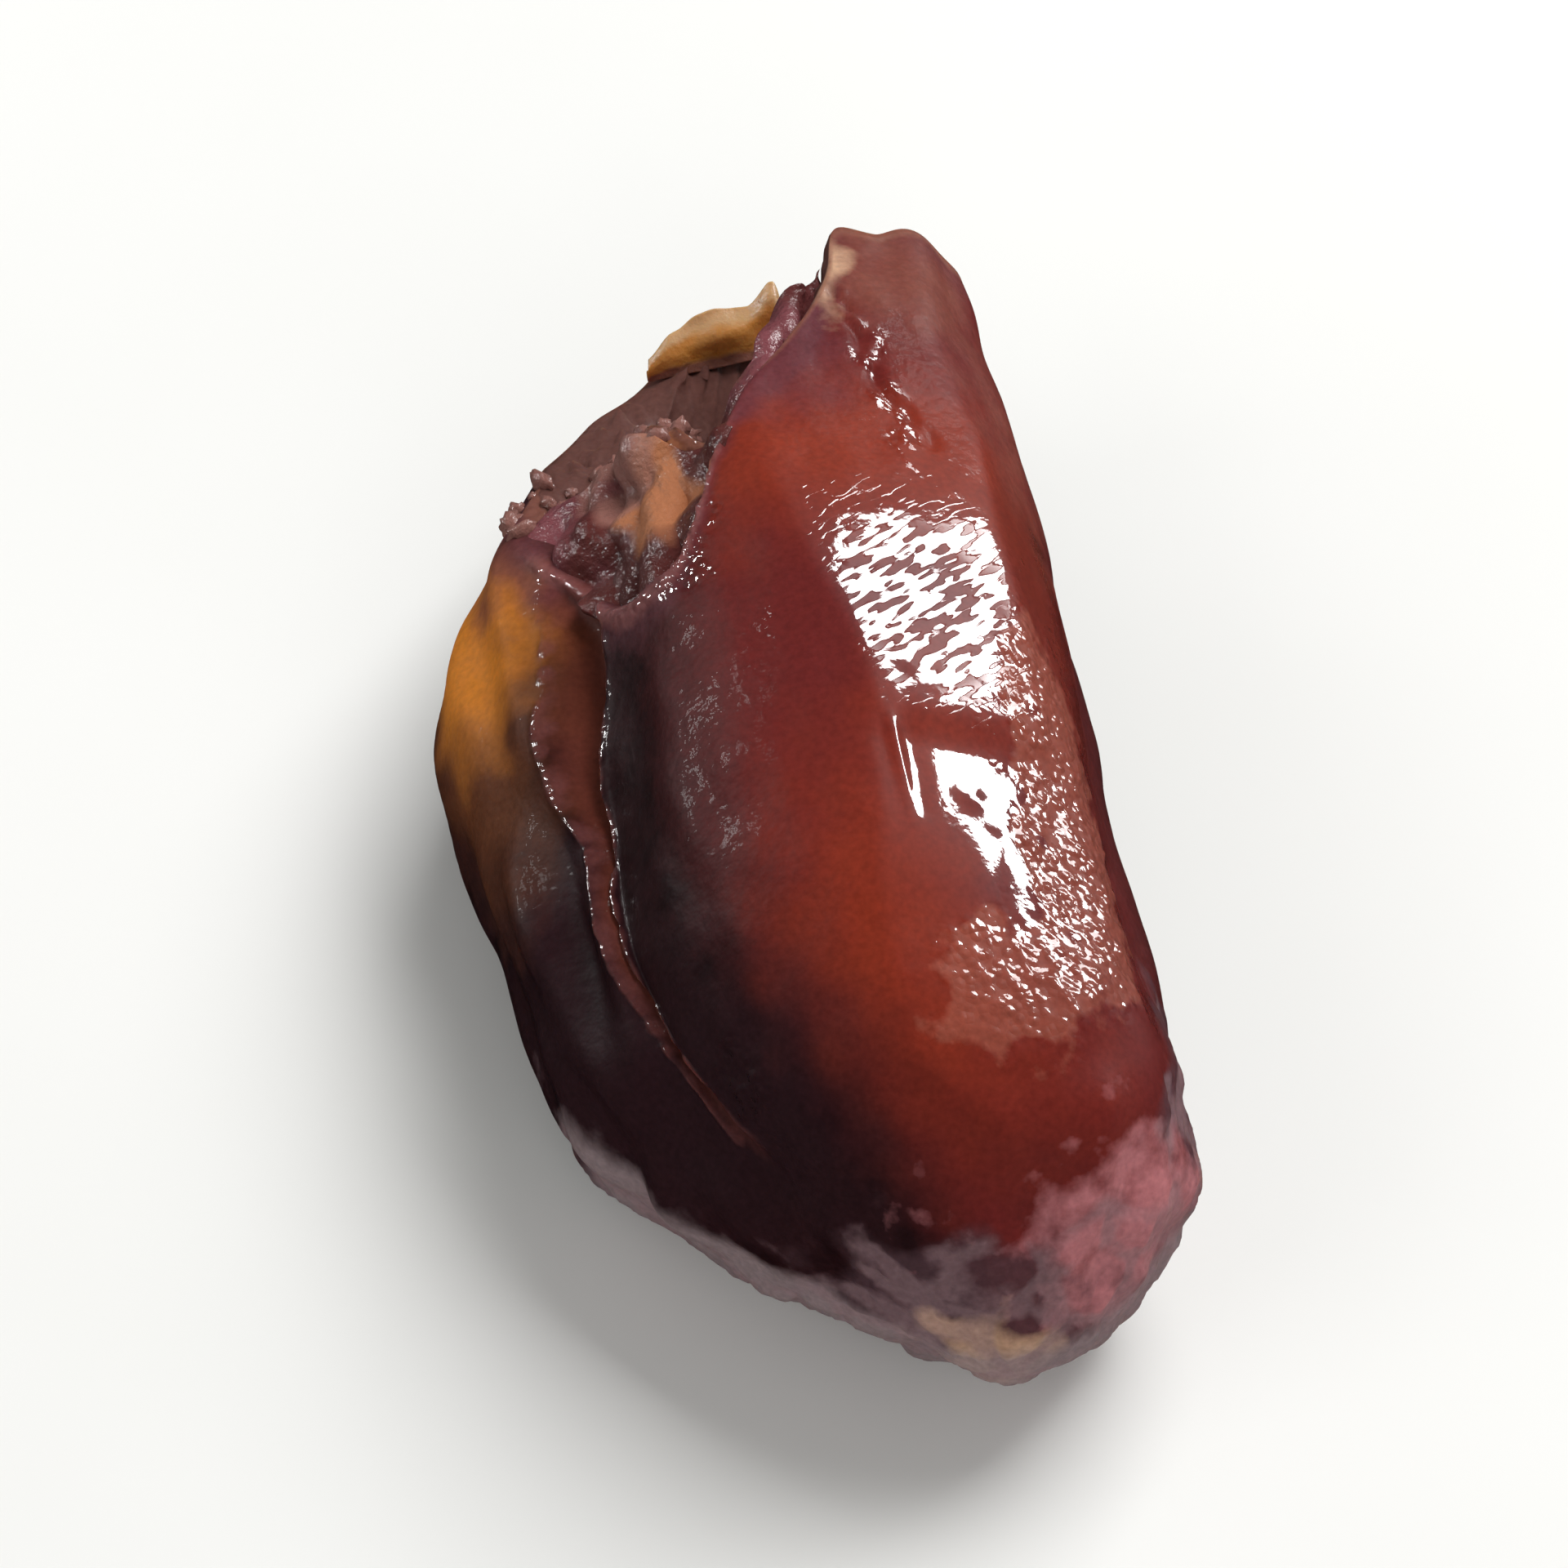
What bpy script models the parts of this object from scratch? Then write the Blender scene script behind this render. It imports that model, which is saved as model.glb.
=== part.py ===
"""A pitted date lying on its side: one fruit that grew as one piece.

Its flank is slit lengthwise and folded over itself, and the stem end is torn open on the hollow that the
stone left. +Z is up and +Y runs along the fruit, from its closed tip to its torn mouth. The origin is on the
surface that the fruit lies on, under the middle of its box. The whole surface is one loft between sections
that are all unlike, so its rings are worked out by formula and joined here.
"""

import bpy
import numpy as np

MM = 0.001  # the sizes below are in millimetres, and the mesh is written in metres

# The closed tip, and how far along the fruit its round cap reaches
TIP = -17.6
TIP_ROUNDING = 4.2

# A section of the fruit is two rolls side by side: the wide main one, and the low one that the slit flank
# makes on its left. At each station along the fruit they reach this far left, right, up and down.
STATIONS = np.array([-17.6, -15.0, -12.0, -8.5, -4.0, 1.0, 6.0, 11.0, 15.0, 19.0])
MAIN_LEFT = np.array([-0.8, -2.6, -4.8, -6.2, -6.8, -6.6, -6.3, -5.8, -4.6, -3.2])
MAIN_RIGHT = np.array([6.2, 7.5, 8.0, 7.6, 7.5, 7.8, 7.9, 8.2, 8.2, 7.2])
MAIN_TOP = np.array([8.6, 11.6, 13.8, 15.2, 15.8, 15.8, 15.3, 14.0, 12.6, 11.0])
MAIN_LOW = np.array([2.2, 1.4, 0.5, -0.3, -0.7, -0.7, -0.5, 0.3, 2.3, 5.6])
SIDE_LEFT = np.array([-0.4, -2.2, -5.2, -8.4, -9.8, -10.2, -10.1, -8.0, -4.7, -2.2])
SIDE_RIGHT = np.array([4.2, 3.6, 2.8, 2.0, 1.4, 1.4, 1.4, 2.0, 2.8, 3.4])
SIDE_TOP = np.array([7.0, 8.4, 9.6, 10.4, 10.8, 11.0, 11.0, 10.6, 9.8, 8.8])
SIDE_LOW = np.array([2.4, 1.8, 1.0, 0.3, -0.3, -0.4, -0.2, 0.6, 2.5, 5.6])
JOIN_SHARPNESS = 14  # a high power keeps the valley between the rolls sharp

# The line inside the fruit that its sections are measured from, and the slit's angle about it in degrees,
# counted from +X over the top
CORE_X = np.array([2.0, 1.4, 0.6, -0.2, -0.6, -0.6, -0.2, 0.4, 1.0, 1.4])
CORE_Z = np.array([4.4, 5.6, 6.6, 7.2, 7.5, 7.5, 7.4, 7.3, 7.2, 7.0])
SLIT_ANGLE = np.array([138, 143, 149, 153, 155, 154, 152, 151, 150, 150])

# The slit, which fades out between the two places of SLIT_END on its way to the tip, and between those of
# SLIT_TOP on its way to the mouth. The main roll's lip leans over it, fully on the tip's side of LEAN_END and
# not at all beyond.
SLIT_DEPTH = 2.2
SLIT_HALF_WIDTH = 0.85
SLIT_END = (-13.5, -7.0)
SLIT_TOP = (5.0, 9.5)
LIP_LEAN = 0.75
LIP_WIDTH = 0.9
LEAN_END = (-4.0, 4.0)

# How far along the fruit its torn rim stands, at each angle about the core in degrees: a blunt tab at the
# upper right, a wide dip at the upper left, and a thin flap below
RIM_ANGLE = np.array([0, 20, 32, 46, 61, 67, 79, 92, 106, 122,
                      143, 160, 168, 174, 188, 203, 214, 232, 252, 270, 290, 330])
RIM_REACH = np.array([16.4, 16.9, 17.9, 18.0, 17.7, 15.9, 13.7, 11.7, 10.5, 11.4,
                      12.0, 11.2, 11.5, 12.9, 15.2, 17.6, 19.3, 20.0, 19.8, 19.6, 18.6, 16.8])
RIM_TEETH = (0.35, 0.45)  # height, and spacing round the rim in radians
# In that dip the skin is torn back further than the flesh, which lies bare in folds across the slit's top:
# how far back at each angle, and how far the flesh lies below the skin, past a step of this width
TEAR_ANGLE = np.array([61, 79, 92, 102, 110, 125, 134, 148, 160, 172])
TEAR_BACK = np.array([0.0, 0.2, 0.5, 1.9, 4.6, 6.9, 6.8, 4.8, 1.6, 0.0])
TEAR_STEP = 2.6
BARE_SINK = 0.9
BARE_FOLDS = (0.22, 2.4)  # height and spacing
FLAP_THICKNESS = 0.8
LIP_DROP = 0.7  # how far the hollow's edge lies inside the rim

# The stone's hollow: an oval tube with a round end. Its edge is never further out than HOLLOW_MOUTH, so that
# the flaps that reach further are thin at their ends.
HOLLOW_X = 1.2
HOLLOW_Z = 7.5
HOLLOW_HALF_WIDTH = 4.3
HOLLOW_HALF_HEIGHT = 3.4
HOLLOW_END = -6.5
HOLLOW_ROUNDING = 5.0
HOLLOW_MOUTH = 15.0

# Wrinkles: height, and spacing across and along the fruit. They are lower where the skin closes in to less
# than FULL_RADIUS from the core, at the tip and on the narrow flap.
BROAD_WRINKLES = (0.24, 5.0, 16.0)
FINE_WRINKLES = (0.15, 2.6, 7.0)
FULL_RADIUS = 4.5
# Over the main roll the skin is taut, and this share of the wrinkles is left. The pairs below say between
# which heights, sideways places and places along the fruit that stretch begins and ends.
TAUT_SHARE = 0.2
TAUT_ABOVE = (6.5, 10.0)
TAUT_RIGHT_OF = (-7.0, -5.0)
TAUT_FROM = (-15.0, -10.0)
TAUT_TO = (11.0, 15.0)

# A small knob on the right flank near the tip: its place, half width and height
KNOB_PLACE = (8.0, -13.4, 5.6)
KNOB_HALF_WIDTH = 1.4
KNOB_HEIGHT = 0.5

# The design's own middle, taken off so that the origin is under the middle of the fruit's box
MIDDLE_X = -1.03
MIDDLE_Y = 1.04

COLUMNS = 64
SKIN_ROWS = 38
HOLLOW_ROWS = 12
SLIT_CROWDING = 0.55  # columns stand closer at the slit
END_CROWDING = 1.5  # rows stand closer at both closed ends

SKIN_COLOUR = (0.110, 0.022, 0.014, 1.0)
SKIN_ROUGHNESS = 0.22


def through(places, values, at):
    """A smooth curve through hand-set points: cubic pieces with the slope between each point's neighbours."""
    slopes = np.gradient(values, places)
    first = np.clip(np.searchsorted(places, at) - 1, 0, len(places) - 2)
    step = places[first + 1] - places[first]
    u = np.clip((at - places[first]) / step, 0, 1)
    start = (2 * u**3 - 3 * u**2 + 1) * values[first] + (u**3 - 2 * u**2 + u) * step * slopes[first]
    return start + (3 * u**2 - 2 * u**3) * values[first + 1] + (u**3 - u**2) * step * slopes[first + 1]


def fade(value, low, high):
    """0 below low, 1 above high, and a smooth rise between."""
    u = np.clip((value - low) / (high - low), 0, 1)
    return u * u * (3 - 2 * u)


def round_end(distance, reach):
    """The width of a round cap at this distance from its end, as a share of its full width."""
    return np.sqrt(1 - (1 - np.clip(distance / reach, 0, 1)) ** 2)


def ripples(x, y, z, spacing, seed, count=20):
    """Seeded waves of about one spacing in random directions, added up to an even, patternless relief."""
    rng = np.random.default_rng(seed)
    way = rng.normal(size=(3, count))
    way *= 2 * np.pi / spacing * rng.uniform(0.75, 1.3, count) / np.linalg.norm(way, axis=0)
    phase = rng.uniform(0, 2 * np.pi, count)
    return np.cos(np.stack([x, y, z], axis=-1) @ way + phase).sum(axis=-1) * np.sqrt(2 / count)


def rim_reach(angle):
    """How far along the fruit the torn rim stands at an angle, with small teeth where the skin was torn."""
    places = np.radians(np.concatenate([RIM_ANGLE - 360, RIM_ANGLE, RIM_ANGLE + 360]))
    smooth = through(places, np.tile(RIM_REACH, 3), np.mod(angle, 2 * np.pi))
    height, spacing = RIM_TEETH
    return smooth + height * ripples(np.cos(angle), np.sin(angle), 0 * angle, spacing, seed=5)


def bareness(angle, y):
    """1 where the flesh is bare, 0 under the skin, and a smooth step down between."""
    turned = np.degrees(np.mod(angle, 2 * np.pi))
    skin_end = rim_reach(angle) - through(TEAR_ANGLE, TEAR_BACK, turned)
    return fade(y - skin_end, 0, TEAR_STEP)


def roll_radius(angle, y, left, right, top, low):
    """The distance from the core, along a ray at this angle, to the ellipse with these four reaches."""
    left, right, top, low = (through(STATIONS, values, y) for values in (left, right, top, low))
    half_width = (right - left) / 2
    half_height = (top - low) / 2
    core_x = (through(STATIONS, CORE_X, y) - (left + right) / 2) / half_width
    core_z = (through(STATIONS, CORE_Z, y) - (top + low) / 2) / half_height
    ray_x = np.cos(angle) / half_width
    ray_z = np.sin(angle) / half_height
    a = ray_x**2 + ray_z**2
    b = ray_x * core_x + ray_z * core_z
    c = core_x**2 + core_z**2 - 1
    return (np.sqrt(np.maximum(b * b - a * c, 0)) - b) / a


def outer_radius(angle, y):
    """The further of the two rolls on each ray, closed in a round cap at the tip."""
    main = roll_radius(angle, y, MAIN_LEFT, MAIN_RIGHT, MAIN_TOP, MAIN_LOW)
    side = roll_radius(angle, y, SIDE_LEFT, SIDE_RIGHT, SIDE_TOP, SIDE_LOW)
    joined = (main**JOIN_SHARPNESS + side**JOIN_SHARPNESS) ** (1 / JOIN_SHARPNESS)
    return joined * round_end(y - TIP, TIP_ROUNDING)


def relief(x, y, z):
    """Long wrinkles and shorter ones between them, slight over the taut main roll, and the knob."""
    height = 0
    for seed, (amount, across, along) in enumerate((BROAD_WRINKLES, FINE_WRINKLES), start=11):
        height = height + amount * ripples(x, y * across / along, z, across, seed)
    taut = fade(z, *TAUT_ABOVE) * fade(x, *TAUT_RIGHT_OF) * fade(y, *TAUT_FROM) * (1 - fade(y, *TAUT_TO))
    height = height * (1 - (1 - TAUT_SHARE) * taut)
    from_knob = np.linalg.norm(np.stack([x, y, z], axis=-1) - KNOB_PLACE, axis=-1)
    return height + KNOB_HEIGHT * np.exp(-((from_knob / KNOB_HALF_WIDTH) ** 2))


def skin_surface(turn, y):
    """The skin at a turn from the slit: the rolls joined and wrinkled, the slit sunk in and its lip leant.
    The bare flesh beyond the skin's torn edge lies a little lower."""
    angle = np.radians(through(STATIONS, SLIT_ANGLE, y)) + turn
    core_x = through(STATIONS, CORE_X, y)
    core_z = through(STATIONS, CORE_Z, y)
    radius = outer_radius(angle, y)
    full = np.minimum(radius / FULL_RADIUS, 1)
    radius = radius + full * relief(core_x + radius * np.cos(angle), y, core_z + radius * np.sin(angle))
    across = radius * (np.mod(turn + np.pi, 2 * np.pi) - np.pi)
    bare = bareness(turn + np.radians(SLIT_ANGLE[-1]), y)
    slit = fade(y, *SLIT_END) * (1 - fade(y, *SLIT_TOP))
    radius = radius - slit * SLIT_DEPTH * np.exp(-((across / SLIT_HALF_WIDTH) ** 2))
    height, spacing = BARE_FOLDS
    radius = radius - bare * (BARE_SINK + height * ripples(across, y, 0 * y, spacing, seed=14))
    lean = slit * (1 - fade(y, *LEAN_END)) * LIP_LEAN * np.exp(-((across / LIP_WIDTH + 1) ** 2))
    x = core_x + radius * np.cos(angle) - lean * np.sin(angle)
    z = core_z + radius * np.sin(angle) + lean * np.cos(angle)
    return np.stack([x, y, np.maximum(z, 0)], axis=-1)


def hollow_surface(turn, depth):
    """The stone's hollow, at a turn from the slit, and at a depth from 0 at its torn edge to 1 at its end."""
    angle = turn + np.radians(SLIT_ANGLE[-1])
    edge = np.minimum(rim_reach(angle) - LIP_DROP, HOLLOW_MOUTH)
    y = edge + (HOLLOW_END - edge) * depth
    width = round_end(y - HOLLOW_END, HOLLOW_ROUNDING)
    x = HOLLOW_X + HOLLOW_HALF_WIDTH * width * np.cos(angle)
    z = HOLLOW_Z + HOLLOW_HALF_HEIGHT * width * np.sin(angle)
    return np.stack([x, y, z], axis=-1)


def date_rings():
    """The rings of the whole surface in order: over the skin from the tip, over the rim, down the hollow."""
    place = 2 * np.pi * np.arange(COLUMNS) / COLUMNS
    turn = place - SLIT_CROWDING * np.sin(place)
    rim = rim_reach(turn + np.radians(SLIT_ANGLE[-1]))
    shares = (np.arange(1, SKIN_ROWS + 1) / SKIN_ROWS) ** END_CROWDING
    skin = [skin_surface(turn, TIP + (rim - TIP) * share) for share in shares]
    depths = 1 - (1 - np.arange(HOLLOW_ROWS) / HOLLOW_ROWS) ** END_CROWDING
    hollow = [hollow_surface(turn, depth) for depth in depths]
    core = np.stack([through(STATIONS, CORE_X, rim), rim, through(STATIONS, CORE_Z, rim)], axis=-1)
    inward = (core - skin[-1]) / np.linalg.norm(core - skin[-1], axis=1, keepdims=True)
    flap = skin[-1] + FLAP_THICKNESS * inward
    return skin + [flap, (flap + hollow[0]) / 2] + hollow


def make_date():
    """One closed mesh: quads between the rings, and a fan on the tip and on the hollow's end."""
    rings = date_rings()
    tip = (CORE_X[0], TIP, CORE_Z[0])
    hollow_end = (HOLLOW_X, HOLLOW_END, HOLLOW_Z)
    points = np.vstack([*rings, tip, hollow_end]) - (MIDDLE_X, MIDDLE_Y, 0)
    column = np.arange(COLUMNS)
    after = (column + 1) % COLUMNS
    faces = []
    for low in range(0, (len(rings) - 1) * COLUMNS, COLUMNS):
        high = low + COLUMNS
        faces += np.stack([low + column, high + column, high + after, low + after], axis=1).tolist()
    last = (len(rings) - 1) * COLUMNS
    tip_point = len(rings) * COLUMNS
    faces += np.stack([0 * column + tip_point, column, after], axis=1).tolist()
    faces += np.stack([0 * column + tip_point + 1, last + after, last + column], axis=1).tolist()
    mesh = bpy.data.meshes.new("date")
    mesh.from_pydata((points * MM).tolist(), [], faces)
    mesh.shade_smooth()
    return bpy.data.objects.new("date", mesh)


def skin_material():
    material = bpy.data.materials.new("glossy_dark_date_skin")
    material.use_nodes = True
    shader = material.node_tree.nodes["Principled BSDF"]
    shader.inputs["Base Color"].default_value = SKIN_COLOUR
    shader.inputs["Roughness"].default_value = SKIN_ROUGHNESS
    shader.inputs["Metallic"].default_value = 0.0
    return material


def main():
    for old in list(bpy.data.objects):
        bpy.data.objects.remove(old)
    parts = bpy.data.collections.new("pitted_date")
    bpy.context.scene.collection.children.link(parts)
    date = make_date()
    date.data.materials.append(skin_material())
    parts.objects.link(date)


main()
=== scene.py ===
# %% [markdown]
# # A pitted date
# A dried date is one fruit: a thin, syrupy skin drawn tight over soft flesh, with a hollow where the stone
# was. The solid that this lesson starts from has the true size and the main folds. Here it gets the surface
# that the eye reads: the slit's two lips, the flat places that throw back a window whole, the pebbled
# shoulder, the dull crumpled tip, the torn mouth with its fibres, an orange-red painted glow where the flesh
# is thin, and painted shade that darkens the flanks.
#
# Everything is in metres with +Z up, and +Y runs along the fruit from its closed tip to its torn mouth.

# %% Load the fixed frame
import math

import bpy
import numpy as np
from mathutils import Matrix, Quaternion, Vector


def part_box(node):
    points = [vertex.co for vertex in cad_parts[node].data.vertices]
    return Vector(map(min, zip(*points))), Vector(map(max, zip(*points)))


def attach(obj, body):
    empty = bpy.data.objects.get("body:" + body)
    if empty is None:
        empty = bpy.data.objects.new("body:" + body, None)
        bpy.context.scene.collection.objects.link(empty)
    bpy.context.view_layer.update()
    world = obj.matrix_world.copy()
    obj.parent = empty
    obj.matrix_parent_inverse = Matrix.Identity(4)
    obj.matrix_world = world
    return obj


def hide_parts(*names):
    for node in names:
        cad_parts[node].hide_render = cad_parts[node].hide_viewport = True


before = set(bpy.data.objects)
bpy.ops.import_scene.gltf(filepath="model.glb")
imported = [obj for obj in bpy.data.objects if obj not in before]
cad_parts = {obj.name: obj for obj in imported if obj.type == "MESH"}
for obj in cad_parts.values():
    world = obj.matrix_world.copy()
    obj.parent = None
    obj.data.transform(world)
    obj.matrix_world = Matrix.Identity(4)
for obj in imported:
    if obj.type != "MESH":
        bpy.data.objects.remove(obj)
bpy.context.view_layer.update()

MM = 0.001
box_low, box_high = (np.array(corner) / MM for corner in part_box("date"))
print("the solid measures", np.round(box_high - box_low, 2), "mm")

# %% [markdown]
# ## The camera
# The photograph looks down on the date at a slant, from its tip's side and a little from the left. The
# camera is made first, because every later choice is judged through it. A long lens from a quarter of a
# metre keeps the fruit's far end from shrinking.

# %% Place the camera
VIEW_TURN = math.radians(-11)
VIEW_RISE = math.radians(55)
VIEW_DISTANCE = 0.25
VIEW_HEIGHT = 0.045  # what the frame takes in at the fruit
SENSOR = 36.0

look = Vector((
    -math.sin(VIEW_TURN) * math.cos(VIEW_RISE),
    math.cos(VIEW_TURN) * math.cos(VIEW_RISE),
    -math.sin(VIEW_RISE),
))
middle = Vector((box_low + box_high) / 2 * MM)
camera = bpy.data.objects.new("camera", bpy.data.cameras.new("camera"))
camera.data.sensor_width = SENSOR
camera.data.lens = SENSOR * VIEW_DISTANCE / VIEW_HEIGHT
camera.location = middle - look * VIEW_DISTANCE
camera.rotation_euler = look.to_track_quat("-Z", "Y").to_euler()
bpy.context.scene.collection.objects.link(camera)
bpy.context.scene.camera = camera
bpy.context.scene.view_settings.view_transform = "Standard"
print("lens", round(camera.data.lens), "mm")

# %% [markdown]
# ## The form's own rules
# The solid was made by rule: two rolls side by side, a slit between them and a torn rim, each given by a
# few sizes at ten stations along the fruit. A finer skin needs the same rules on a finer grid, so they are
# repeated here with the same sizes, in millimetres. Scaling up the coarse mesh instead would only round its
# facets.

# %% Sizes of the form
MIDDLE = np.array([-1.03, 1.04, 0.0])
TIP = -17.6
TIP_ROUNDING = 4.2
STATIONS = np.array([-17.6, -15.0, -12.0, -8.5, -4.0, 1.0, 6.0, 11.0, 15.0, 19.0])
MAIN_LEFT = np.array([-0.8, -2.6, -4.8, -6.2, -6.8, -6.6, -6.3, -5.8, -4.6, -3.2])
MAIN_RIGHT = np.array([6.2, 7.5, 8.0, 7.6, 7.5, 7.8, 7.9, 8.2, 8.2, 7.2])
MAIN_TOP = np.array([8.6, 11.6, 13.8, 15.2, 15.8, 15.8, 15.3, 14.0, 12.6, 11.0])
MAIN_LOW = np.array([2.2, 1.4, 0.5, -0.3, -0.7, -0.7, -0.5, 0.3, 2.3, 5.6])
SIDE_LEFT = np.array([-0.4, -2.2, -5.2, -8.4, -9.8, -10.2, -10.1, -8.0, -4.7, -2.2])
SIDE_RIGHT = np.array([4.2, 3.6, 2.8, 2.0, 1.4, 1.4, 1.4, 2.0, 2.8, 3.4])
SIDE_TOP = np.array([7.0, 8.4, 9.6, 10.4, 10.8, 11.0, 11.0, 10.6, 9.8, 8.8])
SIDE_LOW = np.array([2.4, 1.8, 1.0, 0.3, -0.3, -0.4, -0.2, 0.6, 2.5, 5.6])
JOIN_SHARPNESS = 14
CORE_X = np.array([2.0, 1.4, 0.6, -0.2, -0.6, -0.6, -0.2, 0.4, 1.0, 1.4])
CORE_Z = np.array([4.4, 5.6, 6.6, 7.2, 7.5, 7.5, 7.4, 7.3, 7.2, 7.0])
SLIT_ANGLE = np.array([138, 143, 149, 153, 155, 154, 152, 151, 150, 150])
SLIT_END = (-13.5, -7.0)
SLIT_TOP = (5.0, 9.5)
LEAN_END = (-4.0, 4.0)
RIM_ANGLE = np.array([0, 20, 32, 46, 61, 67, 79, 92, 106, 122,
                      143, 160, 168, 174, 188, 203, 214, 232, 252, 270, 290, 330])
RIM_REACH = np.array([16.4, 16.9, 17.9, 18.0, 17.7, 15.9, 13.7, 11.7, 10.5, 11.4,
                      12.0, 11.2, 11.5, 12.9, 15.2, 17.6, 19.3, 20.0, 19.8, 19.6, 18.6, 16.8])
RIM_TEETH = (0.35, 0.45)
TEAR_ANGLE = np.array([61, 79, 92, 102, 110, 125, 134, 148, 160, 172])
TEAR_BACK = np.array([0.0, 0.2, 0.5, 1.9, 4.6, 6.9, 6.8, 4.8, 1.6, 0.0])
BARE_SINK = 0.9
BARE_FOLDS = (0.22, 2.4)
FLAP_THICKNESS = 0.8
LIP_DROP = 0.7
HOLLOW_X = 1.2
HOLLOW_Z = 7.5
HOLLOW_HALF_WIDTH = 4.3
HOLLOW_HALF_HEIGHT = 3.4
HOLLOW_END = -6.5
HOLLOW_ROUNDING = 5.0
HOLLOW_MOUTH = 15.0
BROAD_WRINKLES = (0.24, 5.0, 16.0)
FINE_WRINKLES = (0.15, 2.6, 7.0)
FULL_RADIUS = 4.5
TAUT_SHARE = 0.2
TAUT_ABOVE = (6.5, 10.0)
TAUT_RIGHT_OF = (-7.0, -5.0)
TAUT_FROM = (-15.0, -10.0)
TAUT_TO = (11.0, 15.0)
KNOB_PLACE = (8.0, -13.4, 5.6)
KNOB_HALF_WIDTH = 1.4
KNOB_HEIGHT = 0.5
print("the form spans", TIP, "to", RIM_REACH.max(), "mm along the fruit")

# %% [markdown]
# Four small functions carry all of the form. A smooth curve joins given sizes, a fade goes softly
# from one state to another, and waves in random but seeded directions add up to a relief with no pattern.
# Cells are the fourth: points strewn at random, each owning what lies nearest to it. They give pebbles and
# crumpled skin.

# %% Curves, fades, waves and cells
def through(places, values, at):
    """A smooth curve through given points: cubic pieces with the slope between each point's neighbours."""
    slopes = np.gradient(values, places)
    first = np.clip(np.searchsorted(places, at) - 1, 0, len(places) - 2)
    step = places[first + 1] - places[first]
    u = np.clip((at - places[first]) / step, 0, 1)
    start = (2 * u**3 - 3 * u**2 + 1) * values[first] + (u**3 - 2 * u**2 + u) * step * slopes[first]
    return start + (3 * u**2 - 2 * u**3) * values[first + 1] + (u**3 - u**2) * step * slopes[first + 1]


def fade(value, low, high):
    """0 below low, 1 above high, and a smooth rise between: three u squared less two u cubed."""
    u = np.clip((value - low) / (high - low), 0, 1)
    return u * u * (3 - 2 * u)


def ripples(x, y, z, spacing, seed, count=20):
    """Twenty cosine waves of about one spacing in random directions, added up and scaled to a spread of 1."""
    rng = np.random.default_rng(seed)
    way = rng.normal(size=(3, count))
    way *= 2 * np.pi / spacing * rng.uniform(0.75, 1.3, count) / np.linalg.norm(way, axis=0)
    phase = rng.uniform(0, 2 * np.pi, count)
    waves = np.cos(np.stack(np.broadcast_arrays(x, y, z), axis=-1) @ way + phase)
    return waves.sum(axis=-1) * np.sqrt(2 / count)


def cells(points, spacing, seed):
    """Distances to the nearest and the next nearest of points strewn one to a cube of this spacing."""
    rng = np.random.default_rng(seed)
    strewn = rng.uniform(0, 1, (4096, 3))
    scaled = points / spacing
    home = np.floor(scaled).astype(np.int64)
    nearest = np.full(points.shape[:-1], 9.0)
    second = nearest.copy()
    for step in np.stack(np.meshgrid(*[(-1, 0, 1)] * 3), axis=-1).reshape(-1, 3):
        cube = home + step
        pick = (cube @ np.array([73, 179, 283])) % len(strewn)
        far = np.linalg.norm(cube + strewn[pick] - scaled, axis=-1)
        second = np.minimum(second, np.maximum(nearest, far))
        nearest = np.minimum(nearest, far)
    return nearest, second


field = ripples(*np.random.default_rng(0).normal(size=(3, 999)) * 30, 2, 1)
print("one ripple field has spread", round(float(field.std()), 2))

# %% [markdown]
# ## The skin as a surface of two parameters
# A point of the skin is given by its turn about the fruit, counted from the slit, and by its place along
# the fruit. Its distance from the core line is that of the further roll, plus the wrinkles, less the slit.
# This is the solid's own rule, so the finer skin lies where the solid lies.

# %% The rolls, the torn rim and the wrinkles
def rim_reach(angle):
    """How far along the fruit the torn rim stands at an angle: a given curve plus small torn teeth."""
    places = np.radians(np.concatenate([RIM_ANGLE - 360, RIM_ANGLE, RIM_ANGLE + 360]))
    smooth = through(places, np.tile(RIM_REACH, 3), np.mod(angle, 2 * np.pi))
    height, spacing = RIM_TEETH
    return smooth + height * ripples(np.cos(angle), np.sin(angle), 0 * angle, spacing, seed=5)


def skin_end(angle):
    """How far along the fruit the skin reaches: the rim, less what was torn back over the bare flesh."""
    turned = np.degrees(np.mod(angle, 2 * np.pi))
    return rim_reach(angle) - through(TEAR_ANGLE, TEAR_BACK, turned)


def roll_radius(angle, y, left, right, top, low):
    """The distance from the core, along a ray at this angle, to the ellipse with these four reaches."""
    left, right, top, low = (through(STATIONS, values, y) for values in (left, right, top, low))
    half_width = (right - left) / 2
    half_height = (top - low) / 2
    core_x = (through(STATIONS, CORE_X, y) - (left + right) / 2) / half_width
    core_z = (through(STATIONS, CORE_Z, y) - (top + low) / 2) / half_height
    ray_x = np.cos(angle) / half_width
    ray_z = np.sin(angle) / half_height
    a = ray_x**2 + ray_z**2
    b = ray_x * core_x + ray_z * core_z
    c = core_x**2 + core_z**2 - 1
    return (np.sqrt(np.maximum(b * b - a * c, 0)) - b) / a


def round_end(distance, reach):
    """The width of a round cap at this distance from its end, as a share of its full width."""
    return np.sqrt(1 - (1 - np.clip(distance / reach, 0, 1)) ** 2)


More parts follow.
